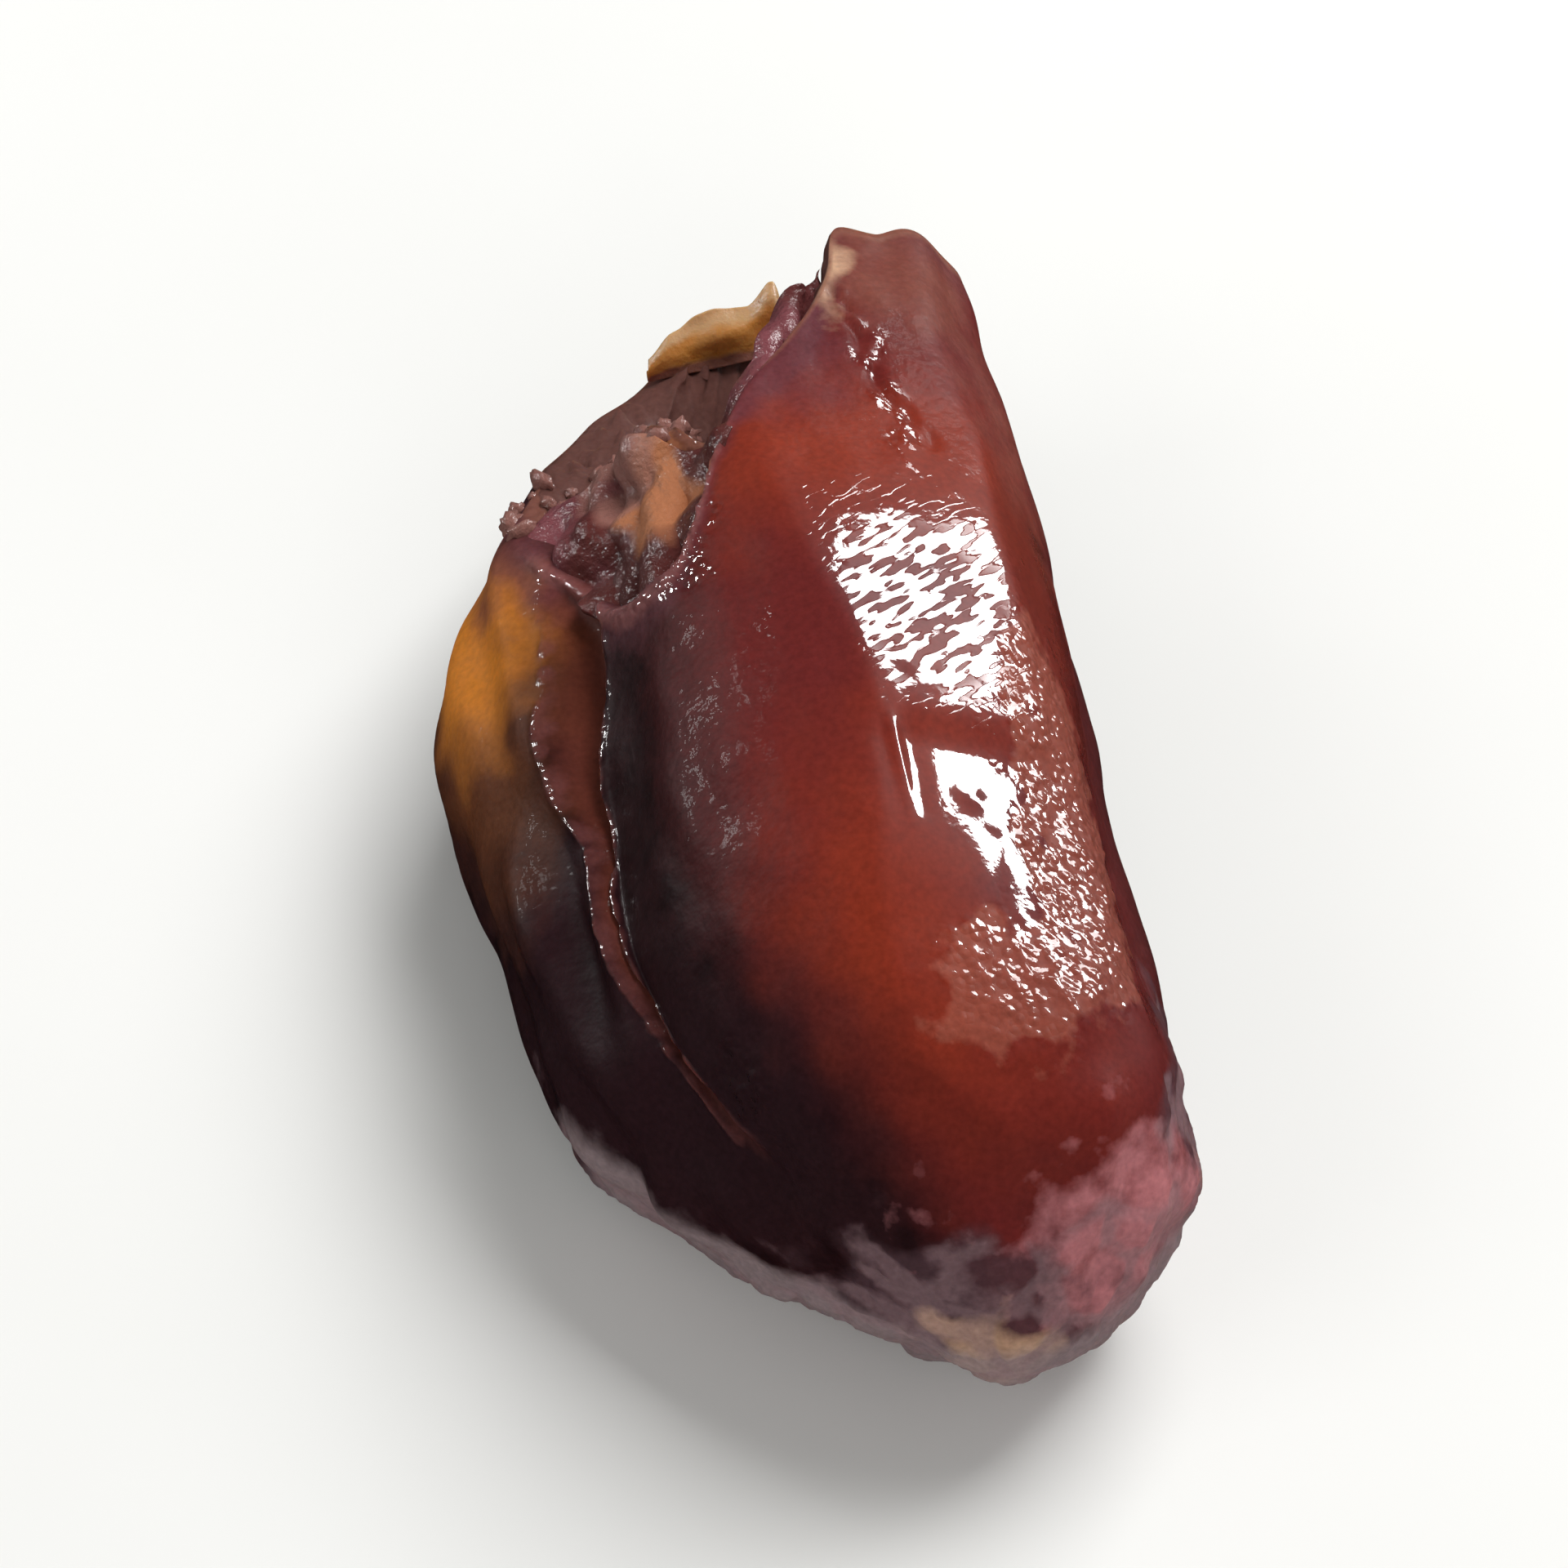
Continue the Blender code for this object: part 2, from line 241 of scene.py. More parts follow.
def outer_radius(angle, y):
    """The further of the two rolls on each ray, joined by a high power sum and capped at the tip."""
    main = roll_radius(angle, y, MAIN_LEFT, MAIN_RIGHT, MAIN_TOP, MAIN_LOW)
    side = roll_radius(angle, y, SIDE_LEFT, SIDE_RIGHT, SIDE_TOP, SIDE_LOW)
    joined = (main**JOIN_SHARPNESS + side**JOIN_SHARPNESS) ** (1 / JOIN_SHARPNESS)
    return joined * round_end(y - TIP, TIP_ROUNDING)


def tautness(x, y, z):
    """1 where the skin is drawn tight over the main roll, 0 where it is loose."""
    return fade(z, *TAUT_ABOVE) * fade(x, *TAUT_RIGHT_OF) * fade(y, *TAUT_FROM) * (1 - fade(y, *TAUT_TO))


def relief(x, y, z):
    """Long and shorter wrinkles, both slight where the skin is taut, and the knob near the tip."""
    height = 0
    for seed, (amount, across, along) in enumerate((BROAD_WRINKLES, FINE_WRINKLES), start=11):
        height = height + amount * ripples(x, y * across / along, z, across, seed)
    height = height * (1 - (1 - TAUT_SHARE) * tautness(x, y, z))
    from_knob = np.linalg.norm(np.stack([x, y, z], axis=-1) - KNOB_PLACE, axis=-1)
    return height + KNOB_HEIGHT * np.exp(-((from_knob / KNOB_HALF_WIDTH) ** 2))


# %% [markdown]
# ## A flat band that mirrors the windows
# A round skin would shrink a window's image to a thin streak. On this fruit the image is broad and nearly
# square, so the main roll's shoulder is nearly flat there. Across the roll the skin is held down to a large
# circle by a soft minimum, and along the roll it follows the roll's own profile. A small terrace parts the
# band in two, so that it throws back two separate images.

# %% Flatten the shoulder
FLAT_STATIONS = np.array([-14.0, -9.0, -5.0, -1.5, 1.5, 5.0, 9.0, 15.5])
FLAT_X = np.array([2.6, 3.3, 3.8, 3.65, 3.45, 3.05, 2.9, 3.0])
FLAT_DEPTH = np.array([0.0, 0.56, 0.56, 0.50, 0.51, 0.56, 0.72, 0.0])
FLAT_RADIUS = 24.0
FLAT_SOFTNESS = 0.05
TERRACE_HEIGHT = 0.26
TERRACE_EDGE = (-3.3, -1.8)
TERRACE_FADE = (-13.0, -8.0)
BRIDGE_X = 1.35
BRIDGE_HALF_WIDTH = 0.22
BRIDGE_EDGE = (-6.5, -0.8)


def flattened(radius, angle, y):
    """The softly lesser of the radius and the reach to a circle sunk a little into the main ellipse."""
    left, right, top, low = (through(STATIONS, v, y) for v in (MAIN_LEFT, MAIN_RIGHT, MAIN_TOP, MAIN_LOW))
    half_width = (right - left) / 2
    half_height = (top - low) / 2
    touch_x = through(FLAT_STATIONS, FLAT_X, y)
    share = (touch_x - (left + right) / 2) / half_width
    rise = np.sqrt(1 - share**2)
    facing = np.arctan2(rise / half_height, share / half_width)
    off_bridge = through(STATIONS, CORE_X, y) + radius * np.cos(angle) - BRIDGE_X
    bridge = np.exp(-((off_bridge / BRIDGE_HALF_WIDTH) ** 2))
    step = fade(y, *TERRACE_EDGE) * (1 - bridge) + fade(y, *BRIDGE_EDGE) * bridge
    depth = through(FLAT_STATIONS, FLAT_DEPTH, y) + TERRACE_HEIGHT * (1 - step) * fade(y, *TERRACE_FADE)
    sunk = FLAT_RADIUS + depth
    centre_x = touch_x - sunk * np.cos(facing) - through(STATIONS, CORE_X, y)
    centre_z = (top + low) / 2 + half_height * rise - sunk * np.sin(facing) - through(STATIONS, CORE_Z, y)
    along_ray = np.cos(angle) * centre_x + np.sin(angle) * centre_z
    square = along_ray**2 - centre_x**2 - centre_z**2 + FLAT_RADIUS**2
    flat = along_ray + np.sqrt(np.maximum(square, 0))
    apart = np.abs(radius - flat)
    return np.minimum(radius, flat) - FLAT_SOFTNESS * np.log1p(np.exp(-apart / FLAT_SOFTNESS))


# %% [markdown]
# ## The slit's two lips, and the skin's torn edge
# The flank was cut and has closed again, so the slit is a shallow valley between two lips, and towards the
# tip it is only a seam. Each lip is a bead with a round top, which catches the light as a fine bright line,
# as a plain groove wouldn't. Where the skin was torn back its edge curls up a little, and the bare flesh
# beyond it lies lower.

# %% The slit and the torn edge on the fine grid
SLIT_DEPTHS = (0.45, 1.5)
SLIT_HALF_WIDTHS = (0.24, 0.72)
SLIT_OPENS = (-3.5, 3.0)
LIP_LEAN = 0.75
LIP_WIDTH = 0.9
BEAD_HEIGHT = 0.12
BEAD_HALF_WIDTH = 0.18
BEAD_SIDES = (-1.2, 1.3)  # in half widths of the slit
BEAD_FADE = (-12.5, -10.0)
BEAD_KNOTS = (0.3, 0.7)  # height and spacing
SLIT_WANDER = (0.12, 3.0)  # how far the slit strays from its line, and over what length
TEAR_STEP = 0.55
CURL = (0.15, 0.3)  # height and half width
CURL_BACK = 2.5  # the skin curls fully where it is torn back this far
HOLLOW_GROOVES = (0.03, 1.1)  # depth as a share of the hollow's width, and spacing


def slit_parts(across, y):
    """How deep in the slit, a bell of the fourth power, and how high on a lip's bead, each from 0 to 1."""
    open_share = fade(y, *SLIT_OPENS)
    half_width = SLIT_HALF_WIDTHS[0] + (SLIT_HALF_WIDTHS[1] - SLIT_HALF_WIDTHS[0]) * open_share
    off = across - SLIT_WANDER[0] * ripples(0 * y, y, 0 * y, SLIT_WANDER[1], 21)
    beads = sum(np.exp(-(((off - side * half_width) / BEAD_HALF_WIDTH) ** 2)) for side in BEAD_SIDES)
    knots = 0.8 + BEAD_KNOTS[0] * ripples(across * 0.6, y, 0 * y, BEAD_KNOTS[1], 22)
    upper_end = 1 - fade(y, *SLIT_TOP)
    inside = np.exp(-((off / half_width) ** 4)) * fade(y, *SLIT_END) * upper_end
    return inside, np.clip(beads * knots, 0, 1) * fade(y, *BEAD_FADE) * upper_end


def slit_relief(across, y):
    """The slit, deeper where it is open, and the beads of its lips."""
    inside, beads = slit_parts(across, y)
    depth = SLIT_DEPTHS[0] + (SLIT_DEPTHS[1] - SLIT_DEPTHS[0]) * fade(y, *SLIT_OPENS)
    return BEAD_HEIGHT * beads - depth * inside


def bare_height(across, y):
    """How far the bare flesh lies from the plain skin: a sink and broad folds."""
    height, spacing = BARE_FOLDS
    return -BARE_SINK - height * ripples(across, y, 0 * y, spacing, seed=14)


def torn_relief(angle, across, y):
    """The skin's edge curled up in a bell curve, and beyond it a step down to the bare flesh."""
    end = skin_end(angle)
    torn_back = fade(rim_reach(angle) - end, 0, CURL_BACK)
    curl = CURL[0] * np.exp(-(((y - end + CURL[1]) / CURL[1]) ** 2)) * torn_back
    return curl + fade(y - end, 0, TEAR_STEP) * bare_height(across, y)


def skin_surface(turn, y, lift=None):
    """The skin at a turn from the slit: rolls, wrinkles, slit and tear. With a lift, the bare flesh."""
    angle = np.radians(through(STATIONS, SLIT_ANGLE, y)) + turn
    core_x = through(STATIONS, CORE_X, y)
    core_z = through(STATIONS, CORE_Z, y)
    radius = outer_radius(angle, y)
    full = np.minimum(radius / FULL_RADIUS, 1)
    radius = radius + full * relief(core_x + radius * np.cos(angle), y, core_z + radius * np.sin(angle))
    radius = flattened(radius, angle, y)
    across = radius * (np.mod(turn + np.pi, 2 * np.pi) - np.pi)
    if lift is None:
        radius = radius + slit_relief(across, y) + torn_relief(turn + np.radians(SLIT_ANGLE[-1]), across, y)
    else:
        radius = radius + bare_height(across, y) + lift
    lean = fade(y, *SLIT_END) * (1 - fade(y, *LEAN_END)) * LIP_LEAN * np.exp(-((across / LIP_WIDTH + 1) ** 2))
    x = core_x + radius * np.cos(angle) - lean * np.sin(angle)
    z = core_z + radius * np.sin(angle) + lean * np.cos(angle)
    return np.stack([x, y, np.maximum(z, 0)], axis=-1)


def hollow_surface(turn, depth):
    """The stone's hollow: an oval tube with a round end, its depth 0 at the torn edge and 1 at the end."""
    angle = turn + np.radians(SLIT_ANGLE[-1])
    edge = np.minimum(rim_reach(angle) - LIP_DROP, HOLLOW_MOUTH)
    y = edge + (HOLLOW_END - edge) * depth
    width = round_end(y - HOLLOW_END, HOLLOW_ROUNDING)
    wall = ripples(3 * np.cos(angle), 0.12 * y, 3 * np.sin(angle), HOLLOW_GROOVES[1], 31)
    grooves = 1 - HOLLOW_GROOVES[0] * np.abs(wall) * fade(depth, 0, 0.1)
    x = HOLLOW_X + HOLLOW_HALF_WIDTH * width * grooves * np.cos(angle)
    z = HOLLOW_Z + HOLLOW_HALF_HEIGHT * width * grooves * np.sin(angle)
    return np.stack([x, y, z], axis=-1)


# %% [markdown]
# ## Pebbles, crumples, a dimple and runs of syrup
# Where the skin shrank onto the flesh in small blisters it is pebbled, and at the tip it came loose and
# crumpled. Both follow the cells: a pebble is a dome over each cell, and a crumple is a ridge on the
# borders between cells. Runs of dried syrup and one dimple lie on the flat band, and bend the windows'
# images.

# %% Fine relief
PEBBLES = (0.50, 0.17)  # spacing and height
CRUMPLES = ((1.9, 0.12), (0.8, 0.07))
BILLOWS = (1.6, 0.02)
DIMPLE = ((4.2, -5.8), 0.36, 0.06)  # place, half width and depth
SYRUP_RUNS = (  # points along each run, its height and half width, and how knotted it is
    (((3.0, -2.0), (2.8, -4.4), (2.7, -6.4)), 0.028, 0.28, 0.1),
    (((4.6, -7.0), (4.4, -8.6), (3.9, -10.3)), 0.03, 0.30, 0.0),
    (((4.2, 13.8), (4.8, 9.7), (5.8, 7.4)), 0.15, 0.24, 0.5),
)
RUNS_ABOVE = (8.0, 10.0)


def spot(points, centre, reach, soft=0.35):
    """1 inside an ellipsoid with these half sizes, 0 outside, and a smooth band between."""
    far = np.linalg.norm((points - np.array(centre)) / np.array(reach), axis=-1)
    return 1 - fade(far, 1 - soft, 1 + soft)


def wobbled(points, amount, spacing, seed):
    """The points shaken by ripples, so that what is drawn from them has a ragged edge."""
    x, y, z = np.moveaxis(points, -1, 0)
    return points + amount * np.stack([ripples(x, y, z, spacing, seed + i) for i in range(3)], axis=-1)


def pebbled(points):
    """How pebbled the skin is: the main roll's right shoulder, from its middle towards the tip."""
    ragged = wobbled(points, 0.3, 1.6, 41)
    zones = (
        ((7.1, -3.6, 12.7), (1.7, 4.4, 2.2)),
        ((7.0, -8.6, 12.4), (1.5, 3.5, 2.2)),
        ((4.2, -11.9, 13.7), (2.2, 2.0, 2.2)),
    )
    return np.clip(sum(spot(ragged, *zone, 0.5) for zone in zones), 0, 1)


def sparkling(points):
    """Where the skin carries grains of dried syrup: low by the slit, by the tear and by the mouth's tab."""
    ragged = wobbled(points, 0.25, 1.2, 48)
    zones = (
        ((-3.4, -12.0, 10.9), (0.8, 1.5, 1.2)),
        ((4.9, 9.4, 13.5), (0.35, 3.2, 1.2)),
        ((-2.3, 3.6, 13.6), (1.2, 0.8, 1.6)),
        ((-1.5, 5.3, 14.2), (0.6, 1.5, 1.2)),
    )
    return np.clip(sum(spot(ragged, *zone) for zone in zones), 0, 1)


def loosened(points):
    """How loose and dull the skin is: the tip, a tongue along the foot, and one up the right."""
    ragged = wobbled(points, 0.6, 2.2, 44)
    x, y, z = np.moveaxis(ragged, -1, 0)
    tip = 1 - fade(y + 0.45 * np.maximum(z - 4, 0), -15.6, -13.4)
    foot = (1 - fade(z, 3.4, 5.4)) * (1 - fade(y, -9.0, -5.0))
    right = spot(ragged, (9.0, -13.5, 7.0), (1.8, 4.4, 3.4))
    return np.clip(tip + foot + right, 0, 1)


def glazed(points):
    """How glassy the skin is: 1 on the taut top and shoulder of the main roll, and 0 away from it."""
    ragged = wobbled(points, 0.4, 2.0, 47)
    x, y, z = np.moveaxis(ragged, -1, 0)
    return fade(x, -0.8, 2.0) * fade(z, 8.5, 11.0) * fade(y, -16.0, -13.5) * (1 - fade(y, 5.0, 7.5))


def crests(points, number):
    """1 on the crests of the crumpled skin, which follow the borders between cells, 0 between them."""
    nearest, second = cells(points * (1, 0.6, 1), CRUMPLES[number][0], 52 + number)
    return 1 - fade(second - nearest, 0, 0.35)


def fine_height(points):
    """The fine relief in millimetres: pebbles, crumples, billows, the dimple and the runs of syrup."""
    nearest, _ = cells(points, PEBBLES[0], 51)
    height = PEBBLES[1] * np.maximum(pebbled(points), 0.8 * sparkling(points)) * (0.35 - nearest**2)
    for number, (_, ridge) in enumerate(CRUMPLES):
        height = height + ridge * loosened(points) * (crests(points, number) - 0.5)
    x, y, z = np.moveaxis(points, -1, 0)
    height = height + BILLOWS[1] * ripples(x, y * 0.6, z, BILLOWS[0], 55) * (1 - glazed(points))
    place, half_width, depth = DIMPLE
    on_top = fade(z, *RUNS_ABOVE)
    from_dimple = np.linalg.norm(points[..., :2] - place, axis=-1)
    height = height - depth * on_top * np.exp(-((from_dimple / half_width) ** 2))
    for run, rise, half_width, knotted in SYRUP_RUNS:
        far = np.full(x.shape, 99.0)
        for start, end in zip(run[:-1], run[1:]):
            step = np.array(end) - start
            share = np.clip((points[..., :2] - start) @ step / (step @ step), 0, 1)
            far = np.minimum(far, np.linalg.norm(points[..., :2] - start - share[..., None] * step, axis=-1))
        knots = 1 - knotted + knotted * ripples(x, y, z, 0.9, 56)
        height = height + rise * knots * on_top * np.exp(-((far / half_width) ** 2))
    return height


# %% [markdown]
# ## One closed mesh
# The rows of the grid run from the tip over the skin, round the torn rim, and down the hollow to its end,
# so the fruit is one closed surface with a pole at either end. The rim is a cubic Bezier arch from the
# skin's edge to the hollow's edge, roughened by fibres.

# %% Build the date
COLUMNS = 300
SKIN_ROWS = 232
RIM_ROWS = 16
HOLLOW_ROWS = 46
CROWDS = ((0.0, 0.35, 1.6), (-1.5, 0.75, 1.1))  # turn, half width and strength of each crowd of columns
END_CROWDING = 1.15
FIBRES = (0.16, 0.5)  # height, and spacing round the rim in millimetres


def rim_arch(skin_edge, hollow_edge, rim):
    """A cubic Bezier arch from the skin's edge inwards over the torn flesh to the hollow's edge."""
    core = np.stack([through(STATIONS, CORE_X, rim), rim, through(STATIONS, CORE_Z, rim)], axis=-1)
    inward = (core - skin_edge) / np.linalg.norm(core - skin_edge, axis=1, keepdims=True)
    flap = skin_edge + FLAP_THICKNESS * inward
    between = (flap + hollow_edge) / 2
    t = (np.arange(1, RIM_ROWS) / RIM_ROWS)[:, None, None]
    arch = (
        (1 - t) ** 3 * skin_edge
        + 3 * t * (1 - t) ** 2 * flap
        + 3 * t**2 * (1 - t) * between
        + t**3 * hollow_edge
    )
    x, y, z = np.moveaxis(arch, -1, 0)
    fibres = FIBRES[0] * ripples(x, y * 0.15, z, FIBRES[1], 61) * np.sin(np.pi * t[..., 0])
    return arch + fibres[..., None] * (0, 1, 0)


def outward(rows):
    """The unit normal at each point of a closed grid: the step round it, crossed with the step along it."""
    along = np.gradient(rows, axis=0)
    around = np.roll(rows, -1, axis=1) - np.roll(rows, 1, axis=1)
    normal = np.cross(around, along)
    return normal / np.maximum(np.linalg.norm(normal, axis=-1, keepdims=True), 1e-9)


def crowded_turns():
    """Turns whose density is 1 plus a bell over the slit and one over the shoulder, by summing it up."""
    fine = np.linspace(-np.pi, np.pi, 4001)
    density = 1 + sum(strength * np.exp(-(((fine - at) / width) ** 2)) for at, width, strength in CROWDS)
    share = np.concatenate([[0], np.cumsum((density[1:] + density[:-1]) / 2)])
    return np.interp(np.arange(COLUMNS) / COLUMNS, share / share[-1], fine)


turn = crowded_turns()
rim = rim_reach(turn + np.radians(SLIT_ANGLE[-1]))
shares = ((np.arange(1, SKIN_ROWS + 1) / SKIN_ROWS) ** END_CROWDING)[:, None]
depths = 1 - (1 - np.arange(HOLLOW_ROWS)[:, None] / HOLLOW_ROWS) ** END_CROWDING
skin = skin_surface(turn, TIP + (rim - TIP) * shares)
hollow = hollow_surface(turn, depths)
inside = np.concatenate([rim_arch(skin[-1], hollow[0], rim), hollow]) - MIDDLE
poles = np.array([(CORE_X[0], TIP, CORE_Z[0]), (HOLLOW_X, HOLLOW_END, HOLLOW_Z)]) - MIDDLE
skin = skin - MIDDLE
height = fine_height(skin)
height[-1] = 0
skin = skin + outward(skin) * height[..., None]
skin[..., 2] = np.maximum(skin[..., 2], 0)
points = np.concatenate([skin.reshape(-1, 3), inside.reshape(-1, 3), poles])
print("the fine skin spans", points.min(axis=0).round(2), "to", points.max(axis=0).round(2), "mm")

# %% Faces between the rows
ROWS = SKIN_ROWS + len(inside)


def grid_faces():
    """Quads between neighbouring rows, and a fan of triangles on each pole."""
    column = np.arange(COLUMNS)
    after = (column + 1) % COLUMNS
    first = COLUMNS * np.arange(ROWS - 1)[:, None]
    second = first + COLUMNS
    quads = np.stack([first + column, second + column, second + after, first + after], axis=-1)
    last = COLUMNS * (ROWS - 1)
    tip_fan = np.stack([0 * column + ROWS * COLUMNS, column, after], axis=1)
    end_fan = np.stack([0 * column + ROWS * COLUMNS + 1, last + after, last + column], axis=1)
    return quads.reshape(-1, 4).tolist() + tip_fan.tolist() + end_fan.tolist()


def new_piece(name, points, faces, masks, low=box_low, high=box_high):
    """An object at the origin with this mesh, in millimetres, trimmed to a box, and a mask for each name."""
    mesh = bpy.data.meshes.new(name)
    # The solid's box trims a few points of the skin and of the amber flap, by less than 0.05 mm.
    mesh.from_pydata((np.clip(points, low, high) * MM).tolist(), [], faces)
    mesh.shade_smooth()
    for mask, values in masks.items():
        mesh.attributes.new(mask, "FLOAT", "POINT").data.foreach_set("value", np.clip(values, 0, 1))
    piece = bpy.data.objects.new(name, mesh)
    bpy.context.scene.collection.objects.link(piece)
    return piece


# %% [markdown]
# ## Where each colour lies
# The skin's colours follow the fruit. An orange-red painted glow stands for light through the thin flesh over
# the hollow, it is amber where the low roll's edge is nearly clear, and painted shade makes it almost black
# on the low roll, by the slit and underneath. Each of these is a mask: a number from 0 to 1 at every point,
# worked out from the point's place and stored on the mesh, so that it stays on the skin from every side.

# %% Masks on the mesh
COLOUR_SPOTS = {  # centre, half sizes, softness and strength of each ellipsoid
    # painted glow: orange-red that stands for light through the thin flesh on the main roll's top and right
    "painted_glow": (
        ((2.6, 7.0, 14.6), (4.8, 3.4, 3.6), 0.9, 0.85),
        ((1.0, -9.4, 14.6), (2.8, 5.0, 2.8), 0.9, 0.75),
        ((3.6, -14.6, 12.0), (3.6, 2.4, 2.8), 0.9, 0.3),
        ((7.4, 3.0, 12.0), (2.0, 6.0, 3.2), 0.8, 0.5),
        ((4.4, -3.0, 15.0), (2.2, 2.6, 2.0), 0.8, 0.5),
    ),
    "amber": (
        ((-8.0, 6.6, 8.3), (2.0, 3.8, 2.4), 0.6, 1.0),
        ((8.9, -14.5, 6.3), (0.8, 0.40, 0.55), 0.4, 1.0),
    ),
    "brown": (
        ((-8.4, 3.4, 8.0), (2.2, 5.6, 3.0), 0.7, 1.0),
        ((-5.4, 5.6, 9.8), (1.0, 3.0, 1.4), 0.8, 0.9),
    ),
    "mauve": (
        ((2.0, 12.0, 13.6), (2.0, 3.0, 2.6), 0.8, 0.8),
        ((-5.6, 9.0, 8.8), (2.4, 3.4, 1.8), 0.7, 0.8),
    ),
    # dusty rose skin at the tab, and along the right outline a painted reflection of the pale surroundings
    "dusty_and_sheen": (
        ((6.2, 14.8, 11.6), (2.4, 3.0, 2.4), 0.7, 0.8),
        ((8.4, 8.6, 10.4), (1.2, 5.0, 2.2), 0.8, 0.5),
    ),
    "tan": (
        ((1.6, -18.5, 5.0), (2.4, 1.4, 1.6), 0.6, 1.0),
        ((3.7, 15.4, 12.2), (1.0, 2.4, 1.8), 0.6, 0.75),
    ),
    "pink": (
        ((6.4, -16.4, 7.6), (3.0, 2.6, 3.0), 0.8, 0.9),
        ((0.4, -16.4, 9.4), (1.2, 0.9, 1.4), 0.7, 0.25),
    ),
    # painted shade: almost black over the low roll and low by the slit, and small dark spots near the tip
    "painted_shade": (
        ((-3.2, -13.4, 11.0), (3.6, 4.2, 3.4), 0.9, 0.8),
        ((-8.6, -8.6, 7.6), (5.4, 8.0, 5.0), 0.7, 0.8),
        ((-0.1, -17.4, 5.4), (0.9, 0.6, 0.45), 0.3, 1.0),
        ((8.6, -14.2, 7.6), (0.6, 0.5, 0.5), 0.4, 1.0),
    ),
    "orange": (
        ((-2.3, 7.6, 12.8), (1.5, 2.3, 1.8), 0.3, 1.0),
    ),
    "wet": (
        ((-3.1, 9.8, 11.7), (1.8, 2.1, 1.7), 0.4, 1.0),
    ),
    "dashes": (
        ((4.2, 0.9, 14.8), (3.6, 4.0, 3.0), 0.3, 1.0),
    ),
}
# warm lays red over the dark base; by the slit and underneath it leaves the dark base bare as painted shade
WARM_TURNS = (14, 58)  # degrees from the slit over which the dark flank turns red
UNDER_TURNS = (-178, -125)  # and those over which the red flank turns dark again underneath
PEEL = (0.3, 0.45)  # how far behind the skin's torn edge its pale rim is, and its half width
MAUVE_BEHIND = (0.4, 2.4)  # and how far behind that edge the skin stays mauve
MAUVE_ABOVE = (8.0, 10.0)
BAND_TOP = (4.8, 6.4)
BAND_END = (-8.5, -6.0)
EDGE = (0.1, 0.6)


def place_masks(points, names):
    """The named masks that follow from the place alone: each a sum of soft ellipsoids with ragged edges."""
    ragged = wobbled(points, 0.3, 2.0, 71)
    return {
        name: sum(
            strength * spot(ragged, centre, reach, soft)
            for centre, reach, soft, strength in COLOUR_SPOTS[name]
        )
        for name in names
    }


def skin_masks(points, turn, y):
    """Each mask by name, for points of the skin at a turn in radians and a place along the fruit."""
    found = place_masks(points, COLOUR_SPOTS)
    z = points[..., 2]
    angle = turn + np.radians(SLIT_ANGLE[-1])
    rim, end = rim_reach(angle), skin_end(angle)
    off_core = points[..., 0] + MIDDLE[0] - through(STATIONS, CORE_X, y), z - through(STATIONS, CORE_Z, y)
    found["cleft"], found["lip"] = slit_parts(np.hypot(*off_core) * turn, y)
    degrees = np.degrees(turn)
    found["warm"] = fade(-degrees, *WARM_TURNS) * fade(degrees, *UNDER_TURNS)
    found["bare"] = fade(y - end, 0, TEAR_STEP)
    torn_back = fade(rim - end, 0.2, CURL_BACK)
    found["peel"] = torn_back * np.exp(-(((y - end + PEEL[0]) / PEEL[1]) ** 2))
    found["mauve"] = found["mauve"] + 0.7 * (1 - fade(end - y, *MAUVE_BEHIND)) * fade(z, *MAUVE_ABOVE)
    found["loose"] = loosened(points)
    found["band"] = (1 - fade(z, *BAND_TOP)) * (1 - fade(y, *BAND_END))
    found["crest"] = found["loose"] * crests(points, 0)
    found["pebble"] = pebbled(points)
    found["glaze"] = glazed(points)
    found["sparkle"] = sparkling(points)
    found["edge"] = 1 - fade(rim - y, *EDGE)
    return found


signed_turn = np.broadcast_to(np.mod(turn + np.pi, 2 * np.pi) - np.pi, skin.shape[:2])
masks = skin_masks(skin, signed_turn, skin[..., 1] + MIDDLE[1])
masks["flesh"] = np.zeros(skin.shape[:2])
# deep darkens the hollow's lining towards its end: painted shade
masks["deep"] = np.zeros(skin.shape[:2])
inside_painted_shade = np.repeat(np.concatenate([np.zeros(RIM_ROWS - 1), fade(depths[:, 0], 0.0, 0.35)]), COLUMNS)
inside_values = {"flesh": np.ones(inside_painted_shade.size), "deep": inside_painted_shade}
for name, values in masks.items():
    inner = inside_values.get(name, np.zeros(inside_painted_shade.size))
    masks[name] = np.concatenate([values.ravel(), inner, [values[0].mean(), inner[-1]]])
date = new_piece("date_fruit", points, grid_faces(), masks)
triangles = sum(len(face.vertices) - 2 for face in date.data.polygons)
print("the date has", triangles, "triangles, and masks:", ", ".join(masks))

# %% [markdown]
# ## The torn mouth
# When the stone was pushed out it tore the fruit's end. The skin was peeled back from the flesh there,
# which lies bare in fibrous folds, with wet shreds stuck to it, and on the far wall a flap of clear amber
# skin was left standing. Fold and flap are thin sheets, each worked out on a grid and closed round its
# edge. Beside the flap the fold reaches past the rim, which narrows the notch between them.

